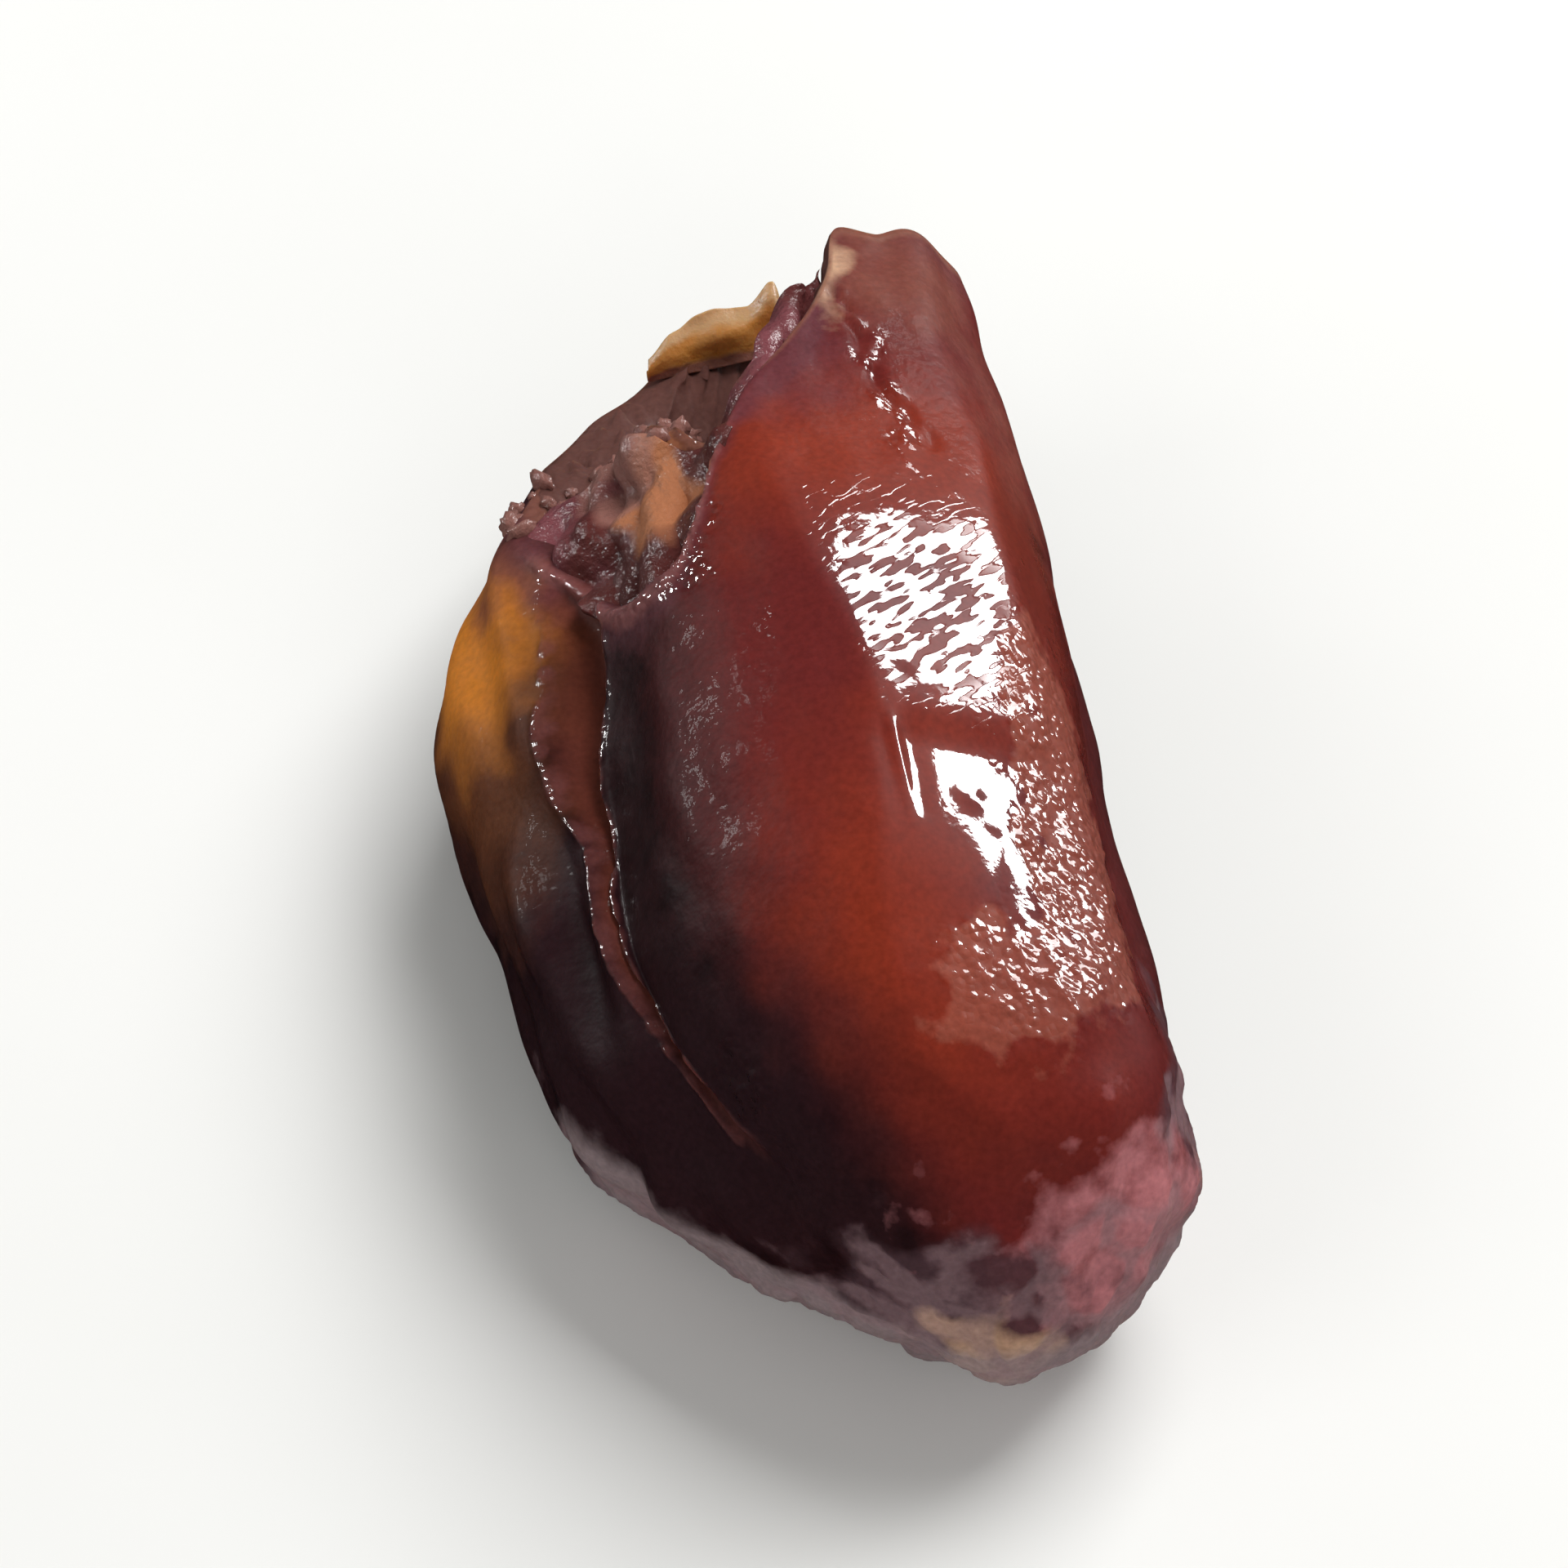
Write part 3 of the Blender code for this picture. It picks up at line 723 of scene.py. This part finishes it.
# %% A closed sheet from a grid of points
def slab(top, thickness):
    """Points and faces of a closed sheet: the grid, a copy of it set down along its normals, and a border."""
    rows, columns = top.shape[:2]
    normal = np.cross(np.gradient(top, axis=1), np.gradient(top, axis=0))
    normal = normal / np.maximum(np.linalg.norm(normal, axis=-1, keepdims=True), 1e-9)
    index = np.arange(rows * columns).reshape(rows, columns)
    upper = np.stack([index[:-1, :-1], index[:-1, 1:], index[1:, 1:], index[1:, :-1]], axis=-1).reshape(-1, 4)
    lower = upper[:, ::-1] + rows * columns
    ring = np.concatenate([index[0, :-1], index[:-1, -1], index[-1, :0:-1], index[:0:-1, 0]])
    after = np.roll(ring, -1)
    border = np.stack([ring, ring + rows * columns, after + rows * columns, after], axis=1)
    both = np.concatenate([top.reshape(-1, 3), (top - thickness * normal).reshape(-1, 3)])
    return both, np.concatenate([upper, lower, border]).tolist()


# %% The bare flesh beyond the skin's torn edge
FOLD_COLUMNS = 150
FOLD_ROWS = 110
FOLD_ANGLES = (66, 170)
FOLD_TUCK = 0.7
FOLD_OVERHANG = (  # angles in degrees, and how far past the rim the fold reaches there
    (66, 71, 78, 87, 100, 170),
    (0.1, 0.9, 1.9, 1.6, 0.1, 0.1),
)
FOLD_RIDGES = ((0.10, 1.5), (0.06, 0.6))  # height and spacing
FOLD_LIFT = 0.12
FOLD_THICKNESS = 0.25


def torn_fold():
    """From under the skin's torn edge to past the rim, just over the sunk flesh, ridged towards the rim."""
    angle = np.radians(np.linspace(*FOLD_ANGLES, FOLD_COLUMNS))[None, :]
    overhang = through(np.radians(FOLD_OVERHANG[0]), np.array(FOLD_OVERHANG[1]), angle)
    start, end = skin_end(angle) - FOLD_TUCK, rim_reach(angle) + overhang
    y = start + (end - start) * np.linspace(0, 1, FOLD_ROWS)[:, None]
    turn = angle - np.radians(SLIT_ANGLE[-1]) + 0 * y
    lift = FOLD_LIFT
    for seed, (height, spacing) in enumerate(FOLD_RIDGES, start=82):
        lift = lift + height * ripples(6.5 * angle, 0.45 * y, 0, spacing, seed)
    return skin_surface(turn, y, lift) - MIDDLE


fold_points = torn_fold()
fold_shape, fold_faces = slab(fold_points, FOLD_THICKNESS)
fold_masks = place_masks(fold_shape, ("mauve", "orange", "wet"))
fold = new_piece("torn_fold", fold_shape, fold_faces, fold_masks)
print("the fold spans", fold_points.min(axis=(0, 1)).round(1), "to", fold_points.max(axis=(0, 1)).round(1))

# %% The amber flap on the far wall
FLAP_FROM = (-0.9, 16.7, 5.7)
FLAP_TO = (3.4, 16.9, 5.8)
FLAP_LEAN = np.array((0.16, 0.80, 0.58))
FLAP_FACE = np.array((-0.11, -0.56, 0.82))
FLAP_RISE = ((0.0, 0.2, 0.45, 0.7, 0.93, 1.0), (0.7, 1.4, 1.8, 1.65, 1.85, 0.7))
FLAP_SHEET = 0.14


def amber_flap():
    """A sheet that leans back from a line along the far rim, with a rise that varies along it."""
    along = np.linspace(0, 1, 90)[None, :]
    up = np.linspace(0, 1, 40)[:, None]
    root = np.array(FLAP_FROM) + along[..., None] * (np.array(FLAP_TO) - FLAP_FROM)
    rise = through(np.array(FLAP_RISE[0]), np.array(FLAP_RISE[1]), along)
    rise = rise * (1 + 0.03 * ripples(along * 5, 0, 0, 0.9, 91)) * up
    bulge = 0.25 * np.sin(np.pi * up) + 0.07 * ripples(along * 4, up * 3, 0, 1.9, 92)
    return root + rise[..., None] * FLAP_LEAN + bulge[..., None] * FLAP_FACE


flap_points = amber_flap()
flap_shape, flap_faces = slab(flap_points, FLAP_SHEET)
flap_up = np.tile(np.repeat(np.linspace(0, 1, len(flap_points)), flap_points.shape[1]), 2)
flap_masks = {"root": 1 - fade(flap_up, 0.05, 0.35), "top": fade(flap_up, 0.5, 0.9)}
flap = new_piece("amber_flap", flap_shape, flap_faces, flap_masks)

# %% Wet shreds on the torn rim
SHREDS = 110
SHRED_ANGLES = (118, 176)
SHRED_ROWS = (-9, 22)  # rows of the mesh before and after the rim
SHRED_SIZES = (0.14, 0.42)
SHRED_FLATNESS = (0.6, 0.9)
SHRED_STRETCH = (0.9, 1.3)
SHRED_DENT = 0.13


def wet_shreds():
    """Small lumps: each a sphere stretched and dented by ripples, at a seeded place on the torn rim."""
    rng = np.random.default_rng(95)
    rows, columns = 9, 14
    tall = np.linspace(0, np.pi, rows)[:, None]
    round_it = 2 * np.pi * np.arange(columns)[None, :] / columns
    wide, deep, high = np.sin(tall) * np.cos(round_it), np.sin(tall) * np.sin(round_it), np.cos(tall)
    ball = np.stack(np.broadcast_arrays(wide, deep, high), axis=-1)
    shapes, faces = [], []
    index = np.arange(rows * columns).reshape(rows, columns)
    after = np.roll(index, -1, axis=1)
    quads = np.stack([index[:-1], index[1:], after[1:], after[:-1]], axis=-1).reshape(-1, 4)
    angles = np.degrees(np.mod(turn + np.radians(SLIT_ANGLE[-1]), 2 * np.pi))
    near = np.flatnonzero((angles > SHRED_ANGLES[0]) & (angles < SHRED_ANGLES[1]))
    around_rim = np.concatenate([skin[SHRED_ROWS[0]:], inside[:SHRED_ROWS[1]]])
    centres = around_rim[rng.integers(len(around_rim), size=SHREDS), rng.choice(near, SHREDS)]
    for number, centre in enumerate(centres):
        size = rng.uniform(*SHRED_SIZES)
        size = size * np.array((1.0, rng.uniform(*SHRED_FLATNESS), rng.uniform(*SHRED_STRETCH)))
        axes = np.linalg.qr(rng.normal(size=(3, 3)))[0]
        axes[:, 0] *= np.sign(np.linalg.det(axes))
        dent = 1 + SHRED_DENT * ripples(*np.moveaxis(ball * 2, -1, 0), 1.6, 100 + number)
        shapes.append(((ball * dent[..., None] * size) @ axes.T + centre).reshape(-1, 3))
        faces.append(quads + number * rows * columns)
    return np.concatenate(shapes), np.concatenate(faces).tolist()


shred_shape, shred_faces = wet_shreds()
shreds = new_piece("wet_shreds", shred_shape, shred_faces, {"wet": np.ones(len(shred_shape))})
print("the mouth has", SHREDS, "shreds")

# %% [markdown]
# ## One helper for every node
# Colours are written as on a screen, in sRGB hex, and one function turns them to the linear values that
# light is counted in. Another adds a node with its settings, and gives each input a value or a link.

# %% Colour and node helpers
def linear(hex_colour):
    """An sRGB hex colour as linear red, green, blue and alpha."""
    parts = [int(hex_colour[i : i + 2], 16) / 255 for i in (1, 3, 5)]
    return tuple(p / 12.92 if p <= 0.04045 else ((p + 0.055) / 1.055) ** 2.4 for p in parts) + (1.0,)


def add(tree, kind, inputs=None, **settings):
    """Adds one node: its settings are set, and each input gets a value or a link from an output."""
    made = tree.nodes.new("ShaderNode" + kind)
    for name, value in settings.items():
        setattr(made, name, value)
    for socket, value in (inputs or {}).items():
        if isinstance(value, bpy.types.NodeSocket):
            tree.links.new(value, made.inputs[socket])
        else:
            made.inputs[socket].default_value = value
    return made


def new_material(name, constants):
    """A material with its output and its Principled shader, whose own sockets get these constants."""
    material = bpy.data.materials.new(name)
    material.use_nodes = True
    tree = material.node_tree
    tree.nodes.clear()
    shader = add(tree, "BsdfPrincipled", constants)
    add(tree, "OutputMaterial", {"Surface": shader.outputs[0]})
    return material, tree, shader


def layered(tree, colour, layers, mottle):
    """Lays each mask's colour over the last, with an edge as ragged as its patchiness says."""
    cover = {}
    for mask, shade, most, patchy in layers:
        value = add(tree, "Attribute", attribute_name=mask).outputs["Fac"]
        shaken = add(tree, "Math", {0: mottle, 1: patchy, 2: value}, operation="MULTIPLY_ADD").outputs[0]
        cover[mask] = add(tree, "MapRange", {0: shaken, 1: patchy, 2: 1.0, 4: most}).outputs[0]
        colour = add(tree, "Mix", {0: cover[mask], 6: colour, 7: linear(shade)}, data_type="RGBA").outputs[2]
    return colour, cover


# %% [markdown]
# ## Dried date skin
# The skin is a thin, waxy film, glazed with the fruit's own dried syrup. Light enters it, is reddened by
# the flesh, and comes out a millimetre away, which is subsurface scattering. The glaze is a second, sharper
# gloss on top, which the coat gives. Each mask lays one colour over the last, and a fine mottle breaks them
# all up. Short dashes where the glaze has cracked away cut the windows' images into streaks. An IOR of 1.4
# is near that of thick syrup. Real date skin shines nearly all over. Here the coat is full only on the taut
# top and on the wet places, and the gloss below it is turned down, because lamps bright enough to show as
# white windows would otherwise lay a pale veil over the colours. That makes the other sides duller than
# they should be.

# %% The skin's material
PER_MM = 1 / MM
SKIN_LAYERS = (  # mask, colour, how far it covers and how patchily
    # painted_glow is painted light; painted_shade, deep and the dark base left bare by warm are painted shade
    ("warm", "#672220", 1.0, 0.1),
    ("painted_glow", "#8c321c", 0.9, 0.1),
    ("painted_shade", "#2c171c", 0.9, 0.2),
    ("brown", "#6a3a1e", 0.9, 0.1),
    ("amber", "#d07c1e", 0.95, 0.1),
    ("mauve", "#60323a", 0.75, 0.3),
    ("dusty_and_sheen", "#7e463a", 0.8, 0.3),
    ("pebble", "#9c5848", 0.5, 0.7),
    ("loose", "#523a40", 0.75, 0.3),
    ("pink", "#b87478", 0.85, 0.5),
    ("tan", "#c8a082", 0.9, 0.4),
    ("band", "#8e7c7e", 0.85, 0.3),
    ("crest", "#8c7074", 0.5, 0.5),
    ("cleft", "#6a3428", 0.9, 0.1),
    ("lip", "#6a3c3a", 0.6, 0.5),
    ("peel", "#8e5a58", 0.6, 0.4),
    ("bare", "#4e2a26", 1.0, 0.1),
    ("orange", "#b0714e", 1.0, 0.4),
    ("edge", "#8a5a4a", 0.6, 0.3),
    ("flesh", "#62403a", 1.0, 0.2),
    ("deep", "#3a1713", 1.0, 0.0),
)
WET_MASKS = ("lip", "peel", "sparkle", "bare")
DASH_TURN = math.radians(38)
DASH_SIZE = (1.15 * MM, 0.26 * MM, 0.6 * MM)
DASH_HEIGHT = 0.02
BLOTCH_HEIGHT = 0.03
DOT_SPACING = 1.1
PEBBLE_SPACING = 0.3


def date_skin():
    """Glazed date skin over flesh, with its colours laid by the masks on the mesh."""
    material, tree, shader = new_material("glazed_date_skin", {
        "Roughness": 0.5,
        "IOR": 1.4,
        "Specular IOR Level": 0.08,
        "Coat Roughness": 0.05,
        "Subsurface Weight": 0.12,
        "Subsurface Radius": (1.0, 0.35, 0.15),
        "Subsurface Scale": 1.0 * MM,
    })
    place = add(tree, "TexCoord").outputs["Object"]
    mask = {
        name: add(tree, "Attribute", attribute_name=name).outputs["Fac"]
        for name in ("glaze", "dashes", "pebble") + WET_MASKS
    }

    # Colour: a dark mottle, partly painted shade on the flanks by the slit and underneath where no mask
    # covers it, the masks' colours over it, and a finer mottle over all
    noise = add(tree, "TexNoise", {"Vector": place, "Scale": 1.0 * PER_MM, "Detail": 4.0}).outputs[0]
    mottle = add(tree, "MapRange", {0: noise, 1: 0.3, 2: 0.7, 3: 0.0, 4: 1.0}).outputs[0]
    dark = {0: mottle, 6: linear("#230f12"), 7: linear("#34171a")}
    colour = add(tree, "Mix", dark, data_type="RGBA").outputs[2]
    colour, cover = layered(tree, colour, SKIN_LAYERS, mottle)
    noise = add(tree, "TexNoise", {"Vector": place, "Scale": 5.0 * PER_MM, "Detail": 3.0}).outputs[0]
    tone = add(tree, "MapRange", {0: noise, 1: 0.3, 2: 0.7, 3: 0.86, 4: 1.12}).outputs[0]
    colour = add(tree, "VectorMath", {0: colour, "Scale": tone}, operation="SCALE").outputs[0]

    # Gloss: full on the glaze and the wet places, and less where the skin is loose or torn
    wet = 0.0
    for name in WET_MASKS:
        wet = add(tree, "Math", {0: mask[name], 1: wet}, operation="MAXIMUM").outputs[0]
    glossy = add(tree, "Math", {0: mask["glaze"], 1: wet}, operation="MAXIMUM").outputs[0]
    dull = add(tree, "Math", {0: cover["loose"], 1: cover["flesh"]}, operation="MAXIMUM").outputs[0]
    gloss = add(tree, "MapRange", {0: glossy, 1: 0.0, 2: 1.0, 3: 0.015, 4: 1.0}).outputs[0]
    gloss = add(tree, "MapRange", {0: dull, 1: 0.0, 2: 1.0, 3: gloss, 4: 0.04}).outputs[0]

    # Dashes: stretched noise, cut off sharply, where the glaze has cracked away
    stretch = {"Vector": place, "Rotation": (0, 0, DASH_TURN), "Scale": DASH_SIZE}
    across = add(tree, "Mapping", stretch, vector_type="TEXTURE").outputs[0]
    noise = add(tree, "TexNoise", {"Vector": across, "Scale": 1.0, "Detail": 1.0}).outputs[0]
    cut = add(tree, "MapRange", {0: noise, 1: 0.51, 2: 0.56, 3: 0.0, 4: 1.0}).outputs[0]
    dashes = add(tree, "Math", {0: cut, 1: mask["dashes"]}, operation="MULTIPLY").outputs[0]
    for value, least in ((dashes, 0.05), (mask["pebble"], 0.5)):
        share = add(tree, "MapRange", {0: value, 1: 0.0, 2: 1.0, 3: 1.0, 4: least}).outputs[0]
        gloss = add(tree, "Math", {0: gloss, 1: share}, operation="MULTIPLY").outputs[0]

    # Relief too fine for the mesh, in millimetres: billows and grains, then blotches and dots in the glaze
    noise = add(tree, "TexNoise", {"Vector": place, "Scale": 2.6 * PER_MM, "Detail": 2.0}).outputs[0]
    depth = add(tree, "MapRange", {0: mask["glaze"], 1: 0.0, 2: 1.0, 3: 0.03, 4: 0.006}).outputs[0]
    skin_height = add(tree, "Math", {0: noise, 1: depth}, operation="MULTIPLY").outputs[0]
    grains = add(tree, "TexVoronoi", {"Vector": place, "Scale": PER_MM / PEBBLE_SPACING}).outputs["Distance"]
    grains = add(tree, "MapRange", {0: grains, 1: 0.0, 2: 0.6, 3: 0.05, 4: 0.0}).outputs[0]
    wet_share = add(tree, "Math", {0: wet, 1: 0.8}, operation="MULTIPLY").outputs[0]
    grained = add(tree, "Math", {0: mask["pebble"], 1: wet_share}, operation="MAXIMUM").outputs[0]
    grains = add(tree, "Math", {0: grains, 1: grained}, operation="MULTIPLY").outputs[0]
    skin_height = add(tree, "Math", {0: skin_height, 1: grains}, operation="ADD").outputs[0]
    noise = add(tree, "TexNoise", {"Vector": place, "Scale": 0.7 * PER_MM, "Detail": 2.0}).outputs[0]
    depth = add(tree, "Math", {0: mask["dashes"], 1: BLOTCH_HEIGHT}, operation="MULTIPLY").outputs[0]
    blotches = add(tree, "Math", {0: noise, 1: depth}, operation="MULTIPLY").outputs[0]
    streaked = {0: dashes, 1: DASH_HEIGHT, 2: blotches}
    creases = add(tree, "Math", streaked, operation="MULTIPLY_ADD").outputs[0]
    dots = add(tree, "TexVoronoi", {"Vector": place, "Scale": PER_MM / DOT_SPACING})
    chance = add(tree, "SeparateColor", {0: dots.outputs["Color"]}).outputs[0]
    picked = add(tree, "Math", {0: chance, 1: 0.6}, operation="GREATER_THAN").outputs[0]
    bead = {0: dots.outputs["Distance"], 1: 0.0, 2: 0.12, 3: 0.03, 4: 0.0}
    bead = add(tree, "MapRange", bead).outputs[0]
    dot = add(tree, "Math", {0: bead, 1: picked}, operation="MULTIPLY").outputs[0]
    glaze_height = add(tree, "Math", {0: dot, 1: creases}, operation="ADD").outputs[0]
    glaze_height = add(tree, "Math", {0: skin_height, 1: glaze_height}, operation="ADD").outputs[0]

    tree.links.new(colour, shader.inputs["Base Color"])
    tree.links.new(gloss, shader.inputs["Coat Weight"])
    for height, socket in ((skin_height, "Normal"), (glaze_height, "Coat Normal")):
        bump = add(tree, "Bump", {"Height": height, "Distance": MM}).outputs[0]
        tree.links.new(bump, shader.inputs[socket])
    return material


date.data.materials.append(date_skin())

# %% [markdown]
# ## Torn flesh and clear skin
# Torn date flesh is a moist, fibrous paste, dull between its wet shreds. The flap on the far wall is skin
# with no flesh behind it, so light shines through and it looks like amber.

# %% Materials of the mouth
FLESH_LAYERS = (
    ("mauve", "#8a4c54", 0.9, 0.1),
    ("orange", "#b0714e", 1.0, 0.3),
    ("wet", "#9a6c62", 0.7, 0.5),
)
FLAP_LAYERS = (
    ("root", "#6e4440", 0.9, 0.5),
    ("top", "#bc9a72", 0.8, 0.5),
)


def torn_flesh():
    """Moist fibrous paste: mottled, with wet lumps that glint."""
    material, tree, shader = new_material("torn_date_flesh", {
        "Roughness": 0.5,
        "IOR": 1.4,
        "Specular IOR Level": 0.12,
        "Coat Roughness": 0.08,
    })
    place = add(tree, "TexCoord").outputs["Object"]
    mottle = add(tree, "TexNoise", {"Vector": place, "Scale": 1.3 * PER_MM, "Detail": 4.0}).outputs[0]
    base = {0: mottle, 6: linear("#431c1c"), 7: linear("#6a3632")}
    colour = add(tree, "Mix", base, data_type="RGBA").outputs[2]
    colour, cover = layered(tree, colour, FLESH_LAYERS, mottle)
    fibre = add(tree, "TexNoise", {"Vector": place, "Scale": 4.0 * PER_MM, "Detail": 4.0}).outputs[0]
    bump = add(tree, "Bump", {"Height": fibre, "Distance": 0.12 * MM}).outputs[0]
    gloss = add(tree, "MapRange", {0: cover["orange"], 3: 0.5, 4: 0.1}).outputs[0]
    tree.links.new(colour, shader.inputs["Base Color"])
    tree.links.new(gloss, shader.inputs["Coat Weight"])
    tree.links.new(bump, shader.inputs["Normal"])
    tree.links.new(bump, shader.inputs["Coat Normal"])
    return material


def clear_skin():
    """Skin alone, thin enough to let light in: mottled amber, brown at its root and pale at its top."""
    material, tree, shader = new_material("clear_amber_skin", {
        "Roughness": 0.4,
        "IOR": 1.4,
        "Subsurface Weight": 0.3,
        "Subsurface Radius": (1.0, 0.5, 0.2),
        "Subsurface Scale": 0.6 * MM,
    })
    place = add(tree, "TexCoord").outputs["Object"]
    mottle = add(tree, "TexNoise", {"Vector": place, "Scale": 1.6 * PER_MM, "Detail": 4.0}).outputs[0]
    base = {0: mottle, 6: linear("#a0641c"), 7: linear("#c08a50")}
    colour = add(tree, "Mix", base, data_type="RGBA").outputs[2]
    colour, _ = layered(tree, colour, FLAP_LAYERS, mottle)
    bump = add(tree, "Bump", {"Height": mottle, "Distance": 0.15 * MM}).outputs[0]
    tree.links.new(colour, shader.inputs["Base Color"])
    tree.links.new(bump, shader.inputs["Normal"])
    return material


flesh_material = torn_flesh()
fold.data.materials.append(flesh_material)
shreds.data.materials.append(flesh_material)
flap.data.materials.append(clear_skin())
for piece in (date, fold, flap, shreds):
    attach(piece, "root")
    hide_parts("date")

# %% [markdown]
# ## Floor and light
# The photograph has a near-white ground, and two windows show in the skin. A broad soft lamp on the right
# gives the shadow. Each window is a lamp that only gloss sees, hung where one of the flat places throws it
# to the camera: the way to the camera, mirrored in the skin. Its sides are the picture's own, turned a
# little and mirrored the same way, so that the image stands upright. Three small lamps that only gloss sees
# give the glints. Apart from the fruit itself, gloss sees nothing else: the floor, the world and the soft
# lamps are hidden from it, so that they don't show in the skin. The windows are placed for this one camera,
# so other views mirror them elsewhere.

# %% The pale floor
def pale_floor():
    """Matt white card, with the faintest unevenness so that it doesn't look like empty background."""
    material, tree, shader = new_material("matt_white_card", {"Roughness": 0.9})
    place = add(tree, "TexCoord").outputs["Object"]
    grain = add(tree, "TexNoise", {"Vector": place, "Scale": 60.0, "Detail": 2.0})
    base = {0: grain.outputs[0], 6: linear("#efefec"), 7: linear("#f4f4f2")}
    shade = add(tree, "Mix", base, data_type="RGBA")
    tree.links.new(shade.outputs[2], shader.inputs["Base Color"])
    return material


FLOOR_HALF = 1000.0
corners = FLOOR_HALF * np.array([(-1, -1, 0), (1, -1, 0), (1, 1, 0), (-1, 1, 0)])
floor = new_piece("floor", corners, [(0, 1, 2, 3)], {}, corners.min(axis=0), corners.max(axis=0))
floor.data.materials.append(pale_floor())
floor.visible_glossy = False

# %% Lamps and world
WINDOWS = (  # name, the place along and across the fruit, the angles it spans across and up, and its radiance
    ("window", (2.0, 3.3), (27, 15.5), 24.0),
    ("small_window", (-5.0, 3.5), (15, 9), 42.0),
)
WINDOW_DISTANCE = 0.5
WINDOW_ROLL = math.radians(12)
OTHER_LAMPS = (  # name, direction, distance, side, power, and whether gloss alone sees it or never does
    ("soft_key", (0.45, 0.35, 0.82), 0.7, 0.45, 4.8, False),
    ("left_fill", (-0.75, -0.25, 0.62), 0.8, 0.50, 0.9, False),
    ("front_fill", (0.15, -0.85, 0.50), 0.8, 0.50, 0.9, False),
    ("glint", (-0.62, 0.56, 0.55), 0.8, 0.09, 1.7, True),
    ("low_glint", (-0.79, 0.56, 0.25), 0.8, 0.09, 2.8, True),
    ("high_glint", (-0.42, 0.56, 0.71), 0.8, 0.05, 0.28, True),
)
WORLD_STRENGTH = 0.30
SHOULDER_STEP = 0.5


def new_lamp(name, width, height, power, location, axes):
    """A rectangular lamp at a place, with its own three axes given as columns."""
    lamp = bpy.data.objects.new(name, bpy.data.lights.new(name, "AREA"))
    lamp.data.shape = "RECTANGLE"
    lamp.data.size = width
    lamp.data.size_y = height
    lamp.data.energy = power
    turned = Matrix([list(axis) for axis in axes]).transposed().to_4x4()
    lamp.matrix_world = Matrix.Translation(location) @ turned
    lamp.visible_camera = False
    bpy.context.scene.collection.objects.link(lamp)
    return lamp


def shoulder(y, x):
    """The plain skin's point over a place, and its normal from steps of SHOULDER_STEP along and across."""
    def top_point(y, x):
        angles = np.radians(np.linspace(40, 100, 1201))
        turns = angles - np.radians(through(STATIONS, SLIT_ANGLE, y))
        row = skin_surface(turns, np.full(turns.size, y))
        return row[np.argmin(np.abs(row[:, 0] - x))] * (0, 0, 1) + np.array((x, y, 0))
    here = top_point(y, x)
    along, over = top_point(y + SHOULDER_STEP, x), top_point(y, x + SHOULDER_STEP)
    normal = np.cross(over - here, along - here)
    return Vector((here - MIDDLE) * MM), Vector(normal / np.linalg.norm(normal))


rolled = camera.rotation_euler.to_quaternion() @ Quaternion((0, 0, 1), -WINDOW_ROLL)
screen_right, screen_up = rolled @ Vector((1, 0, 0)), rolled @ Vector((0, 1, 0))
for name, (y, x), (wide, tall), radiance in WINDOWS:
    point, normal = shoulder(y, x)
    to_camera = (camera.location - point).normalized()
    toward = -to_camera.reflect(normal)
    size = [2 * WINDOW_DISTANCE * math.tan(math.radians(angle) / 2) for angle in (wide, tall)]
    axes = (screen_right.reflect(normal), screen_up.reflect(normal), toward)
    power = radiance * math.pi * size[0] * size[1]
    lamp = new_lamp(name, *size, power, point + toward * WINDOW_DISTANCE, axes)
    lamp.visible_diffuse = False
    print(name, "hangs towards", [round(c, 2) for c in toward], "over", [round(c / MM, 1) for c in point])
for name, direction, distance, side, power, only_gloss in OTHER_LAMPS:
    location = middle + Vector(direction).normalized() * distance
    aim = (middle - location).to_track_quat("-Z", "Y")
    axes = [aim @ Vector(axis) for axis in ((1, 0, 0), (0, 1, 0), (0, 0, 1))]
    lamp = new_lamp(name, side, side, power, location, axes)
    lamp.visible_glossy = only_gloss
    lamp.visible_diffuse = not only_gloss

world = bpy.data.worlds.new("pale_studio")
world.use_nodes = True
background = world.node_tree.nodes["Background"]
background.inputs["Color"].default_value = linear("#f2f2f0")
background.inputs["Strength"].default_value = WORLD_STRENGTH
world.cycles_visibility.glossy = False
bpy.context.scene.world = world
